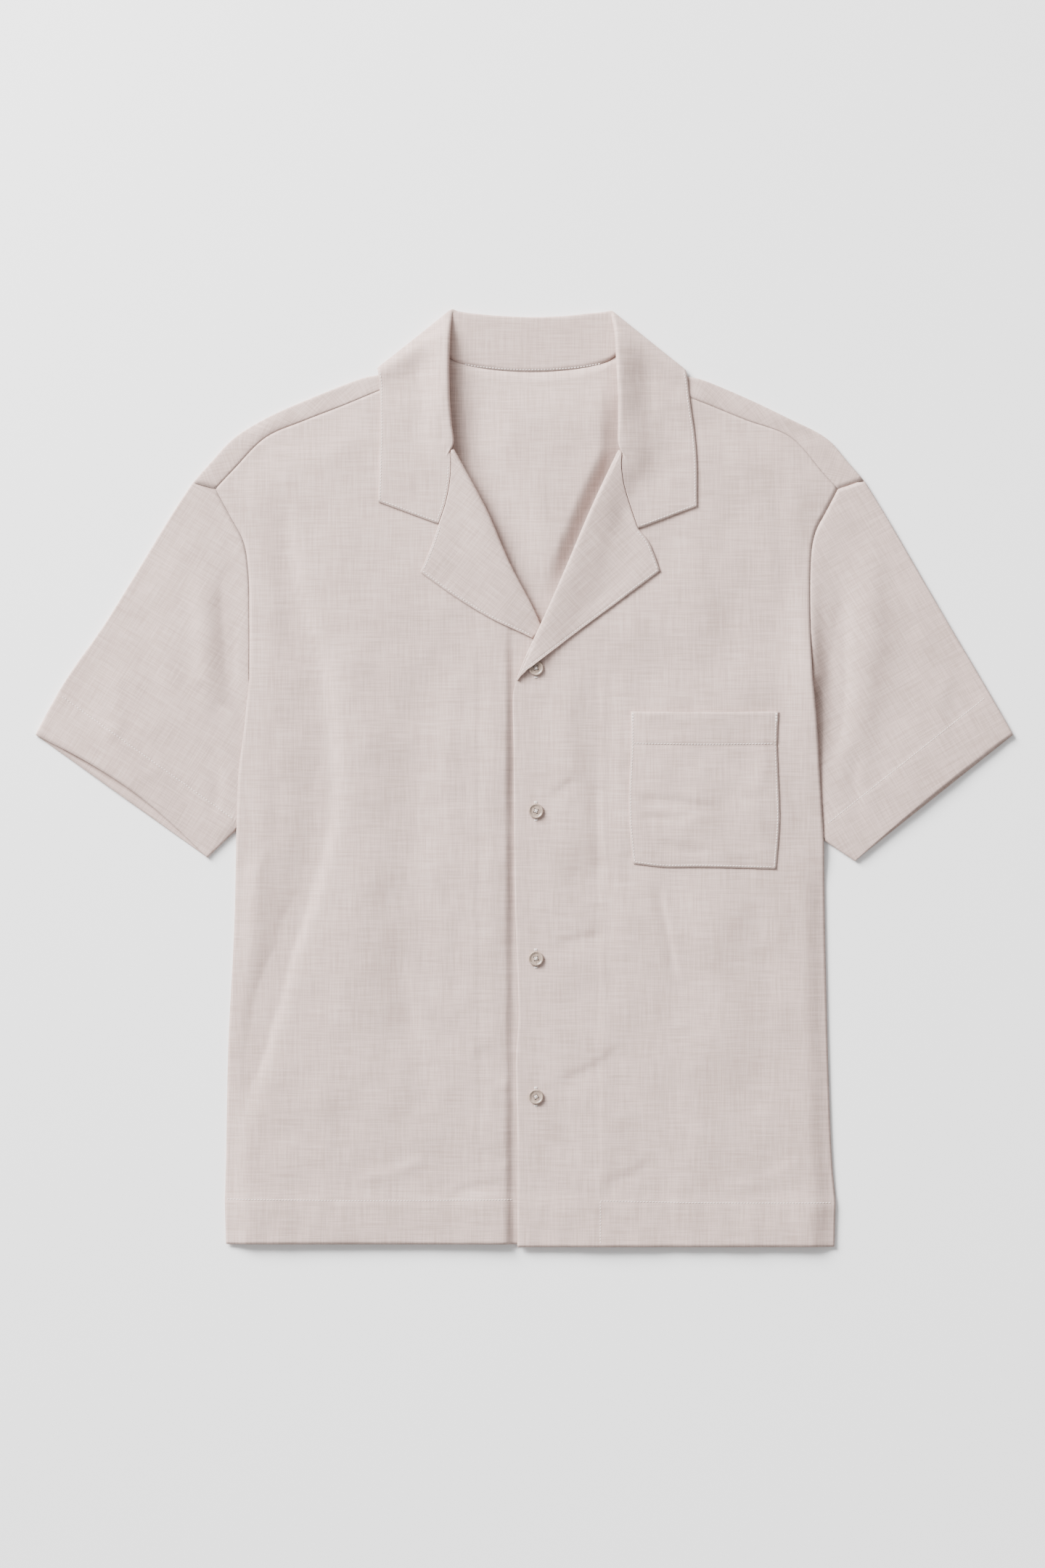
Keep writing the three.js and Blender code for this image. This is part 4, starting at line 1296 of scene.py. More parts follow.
# Collar sections from the tip of the right point round the neck to the tip of the left one: the
# seam, the top of the roll, the free edge, the way the stand lies off the fall in degrees, the
# radius of the turn (none past the end of the stand), and how far the fall lies on the front.
# FIRST_BEHIND_NECK is the first section whose seam lies on the back, counted from either end.
FIRST_BEHIND_NECK = 11
COLLAR_SECTIONS = (
    ((-73.4, 217.2, 5), (-79, 219, 5), (-125, 236, 5), -90, 0, 1),
    ((-67.5, 235, 6), (-73, 237, 6), (-124.5, 255, 5), -90, 0, 1),
    ((-64, 252, 8), (-70, 254, 8), (-124, 276, 5), -90, 0, 1),
    ((-63, 268, 10), (-69, 271, 10), (-123.5, 296, 5), -90, 0, 1),
    ((-64.2, 284, 7.8), (-60.5, 285, 9.2), (-123.5, 309, 5), -90, 0.9, 1),
    ((-70, 302, 7), (-62, 303, 9), (-123.5, 320, 5), -90, 1.7, 1),
    ((-76, 322, 6.4), (-63.5, 326, 9.8), (-123.5, 329, 5), -88, 2.1, 1),
    ((-80, 342, 6), (-64, 352, 9.6), (-123.8, 337, 6), -80, 2.1, 1),
    ((-80, 356, 6), (-63.5, 376, 8), (-124.4, 343, 6.4), -65, 1.9, 0.5),
    ((-78, 365.5, 6), (-62.5, 391, 6), (-125, 348, 5.6), -40, 1.6, 0),
    ((-72.5, 368, 4.6), (-61, 399.9, 3.6), (-124.8, 350, 3), 0, 1.4, 0),
    ((-66, 361, 3), (-56, 398.8, 2.3), (-118, 345, 0.6), 55, 1.4, 0),
    ((-55, 354.6, 2.2), (-43, 397, 2), (-84, FALL_EDGE_Y, 0.6), 85, 1.4, 0),
    ((-28, 349, 2), (-21, 395, 2), (-40, FALL_EDGE_Y, 0.6), 90, 1.4, 0),
    ((NECK_MIDDLE_X, NECK_BACK_Y, 2), (NECK_MIDDLE_X, 394, 2), (NECK_MIDDLE_X, FALL_EDGE_Y, 0.6), 90, 1.4, 0),
    ((40, 349, 2), (35, 395, 2), (52, FALL_EDGE_Y, 0.6), 90, 1.4, 0),
    ((67, 354.6, 2.2), (55, 397, 2), (96, FALL_EDGE_Y, 0.6), 85, 1.4, 0),
    ((78.5, 361, 3), (68, 398.2, 2.3), (131, 344, 0.6), 55, 1.4, 0),
    ((85.5, 368, 4.6), (73.6, 398.4, 3.6), (137, 348.6, 3), 0, 1.4, 0),
    ((92, 365.5, 6), (75.5, 391, 6), (138.5, 345.6, 5.6), -40, 1.6, 0),
    ((95, 356, 6), (77.5, 376, 8), (139.5, 340, 6.4), -65, 1.9, 0.5),
    ((95, 342, 6), (78.5, 352, 9.6), (140.5, 331, 6), -80, 2.1, 1),
    ((92, 322, 6.4), (79.8, 326, 9.8), (142.5, 315, 5), -88, 2.1, 1),
    ((87, 302, 7), (80, 303, 9), (145, 298, 5), -90, 1.7, 1),
    ((84.2, 283, 7.8), (80.5, 284, 9.2), (146.5, 282, 5), -90, 0.9, 1),
    ((83, 267, 10), (89, 269, 10), (147.3, 270, 5), -90, 0, 1),
    ((85.5, 250, 8), (91.5, 252, 8), (147.5, 258, 5), -90, 0, 1),
    ((91, 232, 6), (97, 234, 6), (147.5, 245, 5), -90, 0, 1),
    ((97.4, 213.2, 5), (103, 215, 5), (147.5, 232, 5), -90, 0, 1),
)


@dataclass
class Back(Panel):
    """The back in one piece; its shoulders come forward over their folds to meet the fronts.

    puff is how much it stands up inside the open neck.
    """

    puff: float = 7.0
    shoulder_count: int = 40
    neck_count: int = 44
    rows: tuple[int, int, int] = (60, 26, 44)
    hem_rows: int = 9
    turn_count: int = 6
    strip_count: int = 8
    folds: Sequence[Crease] = creases(
        ([(16, 292), (14, 230), (17, 150)], 5, 0.5, 9),
        ([(-30, 250), (-16, 200), (2, 150)], 9, 0.35, 6),
        ([(-150, 180), (-120, 20), (-132, -140)], 14, 0.7, 20),
        ([(60, 120), (44, -60), (66, -220)], 12, 0.6, 18),
        ([(190, 200), (176, 60), (196, -120)], 10, 0.7, 16),
        ([(-60, -120), (-92, -230), (-70, -340)], 9, 0.6, 13),
        ([(120, -180), (150, -270), (140, -350)], 7, 0.6, 12),
        ([(-200, -200), (-170, -260), (-180, -330)], 7, 0.5, 10),
        ([(-10, -290), (30, -310), (76, -345)], 6, 0.5, 9),
    )

    def within_neck(self, x: Grid, y: Grid) -> tuple[Grid, Grid]:
        """How far places are inside the open neck, sideways from the right roll and from the left one.

        Args:
            x: the places' first coordinates.
            y: the places' second coordinates.

        Returns:
            The two distances at each place, negative outside.
        """
        sides = []
        for s in (RIGHT, LEFT):
            line = np.array(s.roll[::-1], float)
            line = np.vstack([line, [(line[-1, 0], 400.0)]])
            sides.append(np.interp(y, line[:, 1], line[:, 0]))
        return x - sides[0], sides[1] - x

    def height(self, x: Grid, y: Grid, cloth: Grid) -> Grid:
        """Middle of the back's cloth; it can only rise off the surface.

        Args:
            x: the places' first coordinates.
            y: the places' second coordinates.
            cloth: the cloth's thickness at each place.

        Returns:
            The height at each place.
        """
        z = cloth / 2 + CLOTH_LIFT + BODY.neck_lift(x, y)
        for fold in self.folds:
            z = z + fold.height(x, y)
        from_right, from_left = self.within_neck(x, y)
        inside = smooth(12, 50, from_right) * smooth(-1, 17, from_left)
        z = z + self.puff * inside * smooth(347, 296, y) * smooth(120, 165, y)
        ripple = (1 + pucker(x, 2.7, 1.3, 19.0)) * bell(y - HEM_BACK_Y - HEM_DEPTH, 9)
        uneven = np.maximum(Undulation(11).height(x, y), -0.1) + 0.1
        return z + 0.06 * ripple + 0.8 * uneven * smooth(330, 300, y)

    def edges(self, s: Side) -> tuple[Grid, Grid, Grid]:
        """The way a shoulder's fold stands out, the fold's lower line and the side's whole edge.

        Args:
            s: the side.

        Returns:
            The directions, the lower line and the edge, as rows of points.
        """
        fold = curve(s.shoulder_fold, self.shoulder_count)
        outward = sideways(fold, -s.out)
        inner = moved(fold, outward, -FOLD_INSET)
        inner[0] += s.inside()
        return outward, inner, np.vstack([body_edge(s, HEM_BACK_Y, self.rows, self.hem_rows), inner[:1]])

    def strip(self, s: Side, lower: Grid, outward: Grid) -> Ply:
        """The strip that comes forward over a shoulder.

        Args:
            s: the side.
            lower: the back's edge at the shoulder's fold, from the armhole to the neck.
            outward: directions in plan in which the fold stands out.

        Returns:
            The strip with its turn.
        """
        seam_line = curve(s.shoulder_seam, self.shoulder_count)
        seam = moved(seam_line, sideways(seam_line, -s.out), SEAM_GAP / 2)
        seam[:, 2] = UPPER_PLY_Z + BODY.neck_lift(seam[:, 0], seam[:, 1])
        upper = lower + UP * FOLD_HEIGHT
        share = steps(self.strip_count, 1)[:, None, None]
        strip = mix(upper[None], seam[None], share)
        from_seam = np.linalg.norm((strip - seam[None])[..., :2], axis=-1)
        uneven = Undulation(12).height(strip[..., 0], strip[..., 1])
        middle = smooth(0, 1, 4 * share[..., 0] * (1 - share[..., 0]))
        strip[..., 2] += uneven * middle - seam_line_dip(from_seam)
        turn = turn_over(lower, upper, outward, self.turn_count)
        grid = np.concatenate([lower[None], turn, upper[None], strip])
        flat = on_plan(grid)
        beyond = np.linalg.norm(grid[..., :2] - lower[None, :, :2], axis=-1)
        flat[..., :2] = lower[None, :, :2] + outward[None, :, :2] * beyond[..., None]
        way = -s.out
        return Ply(grid[:, ::way], CLOTH, flat[:, ::way])

    def plies(self) -> list[Ply]:
        """The back's sheet, and the two strips that come forward over the shoulders.

        Returns:
            The plies that its wall is made of.
        """
        (right_out, right, right_edge), (left_out, left, left_edge) = self.edges(RIGHT), self.edges(LEFT)
        collar = collar_sections()
        sewn = collar["seam"][collar["turn"] >= COLLAR_SECTIONS[FIRST_BEHIND_NECK][3] - 1e-6]
        neck = curve([(x, y - SEAM_GAP) for x, y, _ in sewn[::2]], self.neck_count)
        top = np.vstack([right, neck, left[::-1]])
        bottom = curve([right_edge[0][:2], left_edge[0][:2]], len(top) - 1)
        main = sheet_over(bottom, top, right_edge, left_edge)
        cloth = hemmed(main[..., 1] - HEM_BACK_Y - HEM_DEPTH)
        main[..., 2] = self.height(main[..., 0], main[..., 1], cloth)
        edge, count = main[-1], self.shoulder_count + 1
        strips = [self.strip(RIGHT, edge[:count], right_out), self.strip(LEFT, edge[::-1][:count], left_out)]
        return [Ply(main, cloth, on_plan(main)), *strips]


def collar_sections(between: int = 8) -> dict[str, Grid]:
    """The collar's sections with smooth ones put between them, and the soft roll's extra height.

    Args:
        between: the number of steps from one section of the table to the next.

    Returns:
        Rows of places for the seam, the roll and the edge, and the values of the other columns.
    """
    values = np.array(
        [[*seam, *roll, *edge, *others] for seam, roll, edge, *others in COLLAR_SECTIONS], float
    )
    lifted = smooth(-30, -70, values[:, 9])
    values[:, 2] += COLLAR_LOFT * 0.75 * lifted
    values[:, 5] += COLLAR_LOFT * lifted
    values[:, 10] *= 1 + 0.25 * lifted
    last = len(values) - 1
    at = np.linspace(0, last, last * between + 1)
    i = np.minimum(at.astype(int), last - 1)
    ends = np.vstack([2 * values[0] - values[1], values, 2 * values[-1] - values[-2]])
    slopes = (ends[2:] - ends[:-2]) / 2
    b, c = values[i], values[i + 1]
    fine = hermite(b, c, slopes[i], slopes[i + 1], (at - i)[:, None])
    fine[:, 9:] = np.clip(fine, np.minimum(b, c), np.maximum(b, c))[:, 9:]
    places = {"seam": fine[:, :3], "roll": fine[:, 3:6], "edge": fine[:, 6:9]}
    return {**places, "turn": fine[:, 9], "radius": fine[:, 10], "rests": fine[:, 11]}


@dataclass
class Collar(Panel):
    """The collar, stand and fall in one piece, from point to point."""

    fronts: dict[Hand, Front]
    stand_count: int = 10
    turn_count: int = 10
    fall_count: int = 34
    folds: Sequence[Crease] = creases(
        ([(-74, 312), (-69, 298), (-71, 282)], 2.2, -0.6, 3.2),
        ([(-67, 306), (-64, 292), (-66, 278)], 1.8, 0.4, 2.6),
        ([(87, 284), (95, 252), (106, 219)], 4, -0.5, 8),
        ([(112, 330), (120, 290), (118, 250)], 9, 0.3, 14),
        ([(-100, 325), (-104, 285), (-96, 240)], 9, 0.3, 12),
    )

    def row(self, seam: Grid, roll: Grid, edge: Grid, degrees: float, radius: float, rests: float) -> Grid:
        """One section of the collar.

        Args:
            seam: where it is sewn on.
            roll: the top of its roll.
            edge: its free edge.
            degrees: the way the stand lies off the fall.
            radius: the radius of the turn.
            rests: how far the fall lies on the front.

        Returns:
            Points from the seam over the roll to the free edge.
        """
        out = -1 if roll[0] < NECK_MIDDLE_X else 1
        apex = roll - (seam + edge) / 2
        apex[2] = 0
        apex /= np.linalg.norm(apex)
        turn = math.radians(degrees)
        across = np.array([-out * apex[1], out * apex[0], 0.0]) * math.cos(turn)
        across[2] = math.sin(turn)
        centre = roll - apex * (radius + COLLAR_CLOTH / 2)
        angles = np.pi * (0.5 - steps(self.turn_count))
        turned = np.cos(angles)[:, None] * apex + np.sin(angles)[:, None] * across
        plain = mix(seam, roll, steps(self.stand_count + self.turn_count, self.stand_count)[:, None])
        bent = smooth(0, 0.9, radius)
        over = mix(plain, centre + radius * turned, bent)
        stand = mix(seam, over[0], steps(self.stand_count)[:-1, None])
        row = np.vstack([stand, over, mix(over[-1], edge, steps(self.fall_count, 1)[:, None])])
        if rests > 0:
            front = self.fronts[Hand.RIGHT if out < 0 else Hand.LEFT]
            first = self.stand_count + self.turn_count
            on_fall = mix(1.0, smooth(first - 2, first + 3, np.arange(len(row))), bent)
            row[:, 2] = mix(row[:, 2], front.draped(COLLAR_CLOTH, row[:, 0], row[:, 1]), rests * on_fall)
        return row

    def relief(self, grid: Grid) -> Grid:
        """Small relief of the stitched edges and the soft folds of the two sides.

        Args:
            grid: the collar's points.

        Returns:
            The height to add at each point.
        """
        x, y = grid[..., 0], grid[..., 1]
        outer, ends = grid[:, -1, :2], (grid[0, :, :2], grid[-1, :, :2])
        free = np.min([nearest(line, x, y)[0] for line in (outer[::4], *ends)], axis=0)
        z = -0.22 * bell(free - 2.0, 0.9) * smooth(350, 340, y)
        for fold in self.folds:
            z = z + fold.height(x, y)
        return z + 0.45 * Undulation(71).height(x, y) * smooth(0, 14, free)

    def plies(self) -> list[Ply]:
        """The collar's sheet: a row for each section, from its seam over its roll to its free edge.

        Returns:
            The plies that its wall is made of.
        """
        given = collar_sections()
        grid = np.array([self.row(*section) for section in zip(*given.values())])
        flat = on_plan(grid)
        first = self.stand_count + self.turn_count
        on_fall = smooth(first - 1, first + 4, np.arange(grid.shape[1]))
        grid[..., 2] += self.relief(grid) * on_fall[None] * smooth(0, 1, given["rests"])[:, None]
        grid[..., 2] = np.maximum(grid[..., 2], COLLAR_CLOTH / 2)
        return [Ply(grid, COLLAR_CLOTH, flat)]


@dataclass
class Sleeve(Panel):
    """A sleeve pressed flat into two plies, open at the hem, its seam edge tucked under the front."""

    side: Side
    folds: Sequence[Crease]
    seed: int
    puff: float
    lengths: int = 72
    armhole_count: int = 36
    tuck_count: int = 26
    turn_count: int = 6

    def outline(self) -> tuple[Grid, Grid, Grid, Grid]:
        """The two plies' points in plan, and the directions in which their folds stand out.

        Returns:
            The lower and the upper ply, then the upper and the lower fold's directions.
        """
        s = self.side
        top_line = curve(s.sleeve_fold, self.lengths)
        top_out = sideways(top_line, s.out)
        top = moved(top_line, top_out, -FOLD_INSET)
        top[0] -= s.inside()
        under_line = curve([s.side_over_sleeve[-1], s.cuff_under], self.lengths)
        under_out = sideways(under_line, -s.out)
        under = moved(under_line, under_out, -FOLD_INSET)

        def armhole(tuck: Plan) -> Grid:
            """The sewn end of one ply, from the upper fold by the armhole to the lower fold."""
            path = chain(curve(s.armhole, self.armhole_count), curve(tuck, self.tuck_count)) - s.inside()
            return np.vstack([top[:1], path[:-1], under[:1]])

        count = self.armhole_count + self.tuck_count + 1
        cuff = curve([top[-1][:2], under[-1][:2]], count)
        arch = s.cuff_arch * np.sin(np.pi * steps(count))
        bowed = moved(cuff, sideways(cuff, -s.out), arch)
        lower = sheet_over(armhole(s.side_over_sleeve), cuff, top, under)
        upper = sheet_over(armhole(s.tucked_armhole), bowed, top, under)
        return lower, upper, top_out, under_out

    def plies(self) -> list[Ply]:
        """The sleeve as rings round its two plies.

        Returns:
            The plies that its wall is made of.
        """
        s = self.side
        lower, upper, top_out, under_out = self.outline()
        count = lower.shape[1]
        hem = [nearest([s.cuff_top, s.cuff_under], g[..., 0], g[..., 1])[0] for g in (lower, upper)]
        cloth = [hemmed(h - SLEEVE_HEM_DEPTH) for h in hem]
        lower[..., 2] = cloth[0] / 2 + CLOTH_LIFT
        across = np.sin(np.pi * steps(count - 1))[None]
        along = smooth(0, 0.4, steps(self.lengths))[:, None]
        upper[..., 2] = lower[..., 2] + FOLD_HEIGHT + SLEEVE_RISE * across * along
        x, y = upper[..., 0], upper[..., 1]
        soft = smooth(0, 0.16, across)
        sewn = hem[1] - SLEEVE_HEM_DEPTH
        ripple = np.sin((x + y * s.out) / 3.1 + 1.4 * np.sin(x / 15.0)) * bell(sewn + 4, 10)
        relief = sum(SLEEVE_GAIN * fold.height(x, y) for fold in self.folds)
        relief = np.maximum(relief + 0.9 * Undulation(self.seed).height(x, y), -FOLD_HEIGHT + 1.2)
        seam = nearest(s.armhole, x, y)[0]
        relief = relief * smooth(0, 17, seam) - 0.2 * bell(sewn, 1.4) + 0.08 * ripple
        upper[..., 2] += soft * relief
        upper[..., 2] += self.puff * bell(y - PUFF_Y, PUFF_REACH) * bell(seam, 9.0) - 0.12 * bell(seam, 1.6)
        uneven = np.maximum(Undulation(self.seed + 5).height(lower[..., 0], lower[..., 1]), -0.08) + 0.08
        lower[..., 2] += uneven * soft
        rings, cloths, flats = [], [], []
        way = np.array(s.cuff_top, float) - np.array(s.sleeve_fold[0], float)
        way /= np.linalg.norm(way)
        turn = np.array([[way[1], -way[0]], [way[0], way[1]]])
        for j in range(self.lengths + 1):
            below, above = lower[j], upper[j]
            under = turn_over(below[-1:], above[-1:], under_out[j : j + 1], self.turn_count)[:, 0]
            top = turn_over(below[:1], above[:1], top_out[j : j + 1], self.turn_count)[::-1, 0]
            ring = np.vstack([below, under, above[::-1], top, below[:1]])
            rings.append(ring)
            edge = np.full(self.turn_count - 1, cloth[0][j, -1])
            cloths.append(np.concatenate([cloth[0][j], edge, cloth[1][j][::-1], edge, cloth[0][j, :1]]))
            flat = on_plan(ring)
            flat[:, :2] = ring[:, :2] @ turn.T
            flat[:count, 0] += 0.5 * s.out
            flats.append(flat)
        return [Ply(np.array(rings), np.array(cloths), np.array(flats))]


RIGHT_SLEEVE_FOLDS = creases(
    ([(-246, 186), (-253, 120), (-250, 60)], 8, -1.1, 12),
    ([(-276, 190), (-274, 120), (-268, 40)], 16, 1.5, 11),
    ([(-281, 84), (-266, 68), (-250, 55)], 4, -0.8, 7),
    ([(-268, 238), (-254, 214), (-246, 190)], 5, -0.7, 5),
    ([(-300, 206), (-292, 150), (-300, 90)], 12, 0.5, 18),
    ([(-330, 150), (-318, 90), (-326, 40)], 9, -0.45, 14),
    ([(-352, 96), (-346, 60), (-352, 28)], 6, 0.4, 9),
    ([(-270, 30), (-262, 0), (-268, -40)], 5, -0.4, 8),
)
LEFT_SLEEVE_FOLDS = creases(
    ([(272, 178), (270, 90), (264, 0)], 9, -1.0, 8),
    ([(296, 190), (294, 95), (284, 10)], 12, 1.0, 20),
    ([(300, 206), (300, 150), (306, 90)], 12, 0.5, 18),
    ([(332, 150), (326, 100), (336, 40)], 10, -0.45, 15),
    ([(366, 96), (356, 66), (360, 30)], 6, 0.4, 9),
    ([(286, 30), (282, -4), (290, -46)], 5, -0.45, 8),
)


@dataclass
class Pocket(Panel):
    """The chest pocket with its turned and stitched hem, laid on the left front."""

    front: Front
    count: int = 66
    top: Plan = ((91, 57), (154, 56.5), (217, 57))
    bottom: Plan = ((93, -73), (120, -76), (151, -76), (215, -77.5))
    left: Plan = ((93, -73), (90, -45), (89, -20), (91, 29), (91, 57))
    right: Plan = ((215, -77.5), (218, -37), (217, 0), (216, 29), (217, 57))
    grain_shift: tuple[float, float, float] = (211.0, 173.0, 0.0)
    folds: Sequence[Crease] = creases(
        ([(92, -17), (130, -20), (174, -28)], 3.5, -1.0, 7),
        ([(94, -31), (120, -34), (150, -30)], 3, -0.7, 5),
        ([(112, -54), (134, -60), (160, -64)], 4, -0.8, 7),
        ([(168, -12), (190, -16), (212, -12)], 4, -0.5, 7),
        ([(205, 24), (198, -20), (202, -60)], 6, 0.6, 9),
        ([(150, 22), (158, -10), (150, -50)], 12, 0.6, 16),
        ([(98, 48), (128, 42), (150, 46)], 4, -0.4, 7),
    )

    def plies(self) -> list[Ply]:
        """The pocket's sheet on the front's height.

        Returns:
            The plies that its wall is made of.
        """
        left, right = curve(self.left, self.count), curve(self.right, self.count)
        grid = sheet_over(curve(self.bottom, self.count), curve(self.top, self.count), left, right)
        x, y = grid[..., 0], grid[..., 1]
        sewn = nearest(joined(self.left[::-1], self.bottom, self.right), x, y)[0]
        band = y - (self.top[0][1] - POCKET_HEM_DEPTH)
        cloth = hemmed(-band)
        z = self.front.base(x, y) + (FRAME_CLOTH + cloth) / 2 + LAID - 0.1
        loose = smooth(1.5, 14, sewn)
        relief = sum(fold.height(x, y) for fold in self.folds) + 0.5 * Undulation(31).height(x, y) + 0.5
        ripple = np.sin((x + y) / 2.1) * bell(sewn - 3, 3)
        stitched = 0.35 * bell(sewn - 1.8, 0.9) + 0.4 * bell(band, 1.3)
        grid[..., 2] = z + loose * relief - stitched + 0.1 * ripple
        return [Ply(grid, cloth, on_plan(grid) + np.array(self.grain_shift))]


@dataclass
class Seamstress:
    """Lays rows of stitches on the cloth.

    Sizes are in millimetres: the stitch with the gap after it, the share of it that shows, the
    half width and half height of the thread, and how far the cloth may drop under one stitch.
    steep is the least upward share of a surface that is sewn on, and start the height in metres
    above or below the surface from which the cloth is looked for.
    """

    pitch: float = 2.6
    shown: float = 0.74
    width: float = 0.34
    rise: float = 0.26
    drop: float = 1.2
    steep: float = 0.5
    start: float = 0.05
    sides: int = 5
    trees: dict[str, BVHTree] = field(default_factory=dict)

    def tree(self, obj: bpy.types.Object) -> BVHTree:
        """The piece's surface, read once.

        Args:
            obj: the piece.

        Returns:
            Its surface, ready for rays.
        """
        if obj.name not in self.trees:
            mesh = obj.data
            points = [v.co.copy() for v in mesh.vertices]
            self.trees[obj.name] = BVHTree.FromPolygons(points, [tuple(p.vertices) for p in mesh.polygons])
        return self.trees[obj.name]

    def seat(self, obj: bpy.types.Object, path: Grid, below: bool) -> tuple[Grid, Grid]:
        """Where places in plan lie on a piece, and which way its surface faces there.

        Args:
            obj: the piece.
            path: the places.
            below: whether its underside is meant.

        Returns:
            The places in space in millimetres and the directions; nan where the piece isn't.
        """
        tree, up = self.tree(obj), -1.0 if below else 1.0
        places, facing = np.full((len(path), 3), np.nan), np.tile(up * UP, (len(path), 1))
        for i, p in enumerate(path):
            start = Vector((p[0] * METRE, p[1] * METRE, up * self.start))
            hit, normal, _, _ = tree.ray_cast(start, Vector((0, 0, -up)))
            if hit is not None and abs(normal.z) > self.steep:
                places[i] = np.array(hit) / METRE
                facing[i] = np.array(normal) * (1 if (normal.z < 0) == below else -1)
        return places, facing

    def row(self, obj: bpy.types.Object, line: Plan, inset: float = 0.0, below: bool = False) -> Solid:
        """One row of stitches.

        Args:
            obj: the piece that it lies on.
            line: the line that it follows in plan.
            inset: how far to the left of that line it runs, or to the right if negative.
            below: whether it lies on the underside.

        Returns:
            Points and faces.
        """
        path = curve(line, max(int(run_of(spatial(line))[-1]), 8))
        if inset:
            path = moved(path, sideways(path), inset)
        run = run_of(path)
        trim = abs(inset)
        count = max(int((run[-1] - 2 * trim) / self.pitch), 1)
        starts = trim + np.arange(count) * self.pitch
        within = np.array([0.0, 0.2, 0.8, 1.0]) * self.shown * self.pitch
        at = (starts[:, None] + within[None]).ravel()
        plan = np.stack([np.interp(at, run, path[:, k]) for k in range(3)], axis=1)
        places, facing = self.seat(obj, plan, below)
        places, facing = places.reshape(count, 4, 3), facing.reshape(count, 4, 3)
        whole = ~np.isnan(places).any(axis=(1, 2)) & (np.ptp(places[..., 2], axis=1) < self.drop)
        places, facing = places[whole], facing[whole]
        along = places[:, -1:] - places[:, :1]
        along /= np.maximum(np.linalg.norm(along, axis=-1, keepdims=True), 1e-9)
        across = np.cross(facing, along)
        size = np.array([0.35, 1.0, 1.0, 0.35])[None, :, None]
        sunk = (np.array([-0.35, 0.25, 0.25, -0.35]) - (0.8 if below else 0.0))[None, :, None] * self.rise
        rings = []
        for a in np.linspace(0, 2 * np.pi, self.sides, endpoint=False):
            around = across * self.width * math.cos(a) + facing * self.rise * math.sin(a)
            rings.append(places + facing * sunk + size * around)
        starts = np.arange(len(places)) * 4 * self.sides
        faces = tube_faces(4, self.sides)[None] + starts[:, None, None]
        return np.stack(rings, axis=2).reshape(-1, 3), faces.reshape(-1, 3)

    def sew(self, name: str, parts: Sequence[Solid]) -> bpy.types.Object:
        """Joins rows of stitches and other thread into one piece and dresses it.

        Args:
            name: the piece's name.
            parts: the points and faces of each stitch.

        Returns:
            The dressed piece.
        """
        starts = np.cumsum([0, *(len(p) for p, _ in parts)])
        faces = np.vstack([f + start for (_, f), start in zip(parts, starts)])
        return dress(mesh_piece(name, np.vstack([p for p, _ in parts]), faces), THREAD_FINISH)


def tube_faces(rings: int, sides: int) -> Grid:
    """The triangles of rings of points, one after another, closed at both ends.

    Args:
        rings: the number of rings.
        sides: the number of points in a ring.

    Returns:
        Three point numbers for each triangle.
    """
    faces = []
    for a in range((rings - 1) * sides):
        b = a + 1 if (a + 1) % sides else a + 1 - sides
        faces += [(a, b, b + sides), (a, b + sides, a + sides)]
    end = (rings - 1) * sides
    faces += [(0, k + 1, k) for k in range(1, sides - 1)]
    return np.array(faces + [(end, end + k, end + k + 1) for k in range(1, sides - 1)])


def tube(path: Grid, radius: Grid | float, sides: int = 6, flatten: float = 1.0) -> Solid:
    """A closed tube along a path.

    Args:
        path: its centre line.
        radius: its radius, one or one for each point.
        sides: how many sides it has.
        flatten: its height as a share of its width.

    Returns:
        Points and faces.
    """
    along = np.gradient(path, axis=0)
    along /= np.linalg.norm(along, axis=1, keepdims=True)
    up = UP - along * along[:, 2:]
    lengths = np.linalg.norm(up, axis=1, keepdims=True)
    up = np.where(lengths > 0.2, up / np.maximum(lengths, 1e-6), [[0.0, 1.0, 0.0]])
    across = np.cross(up, along)
    radii = np.broadcast_to(radius, len(path))[:, None, None]
    angles = np.linspace(0, 2 * np.pi, sides, endpoint=False)[None, :, None]
    around = np.cos(angles) * across[:, None] + flatten * np.sin(angles) * up[:, None]
    return (path[:, None] + radii * around).reshape(-1, 3), tube_faces(len(path), sides)


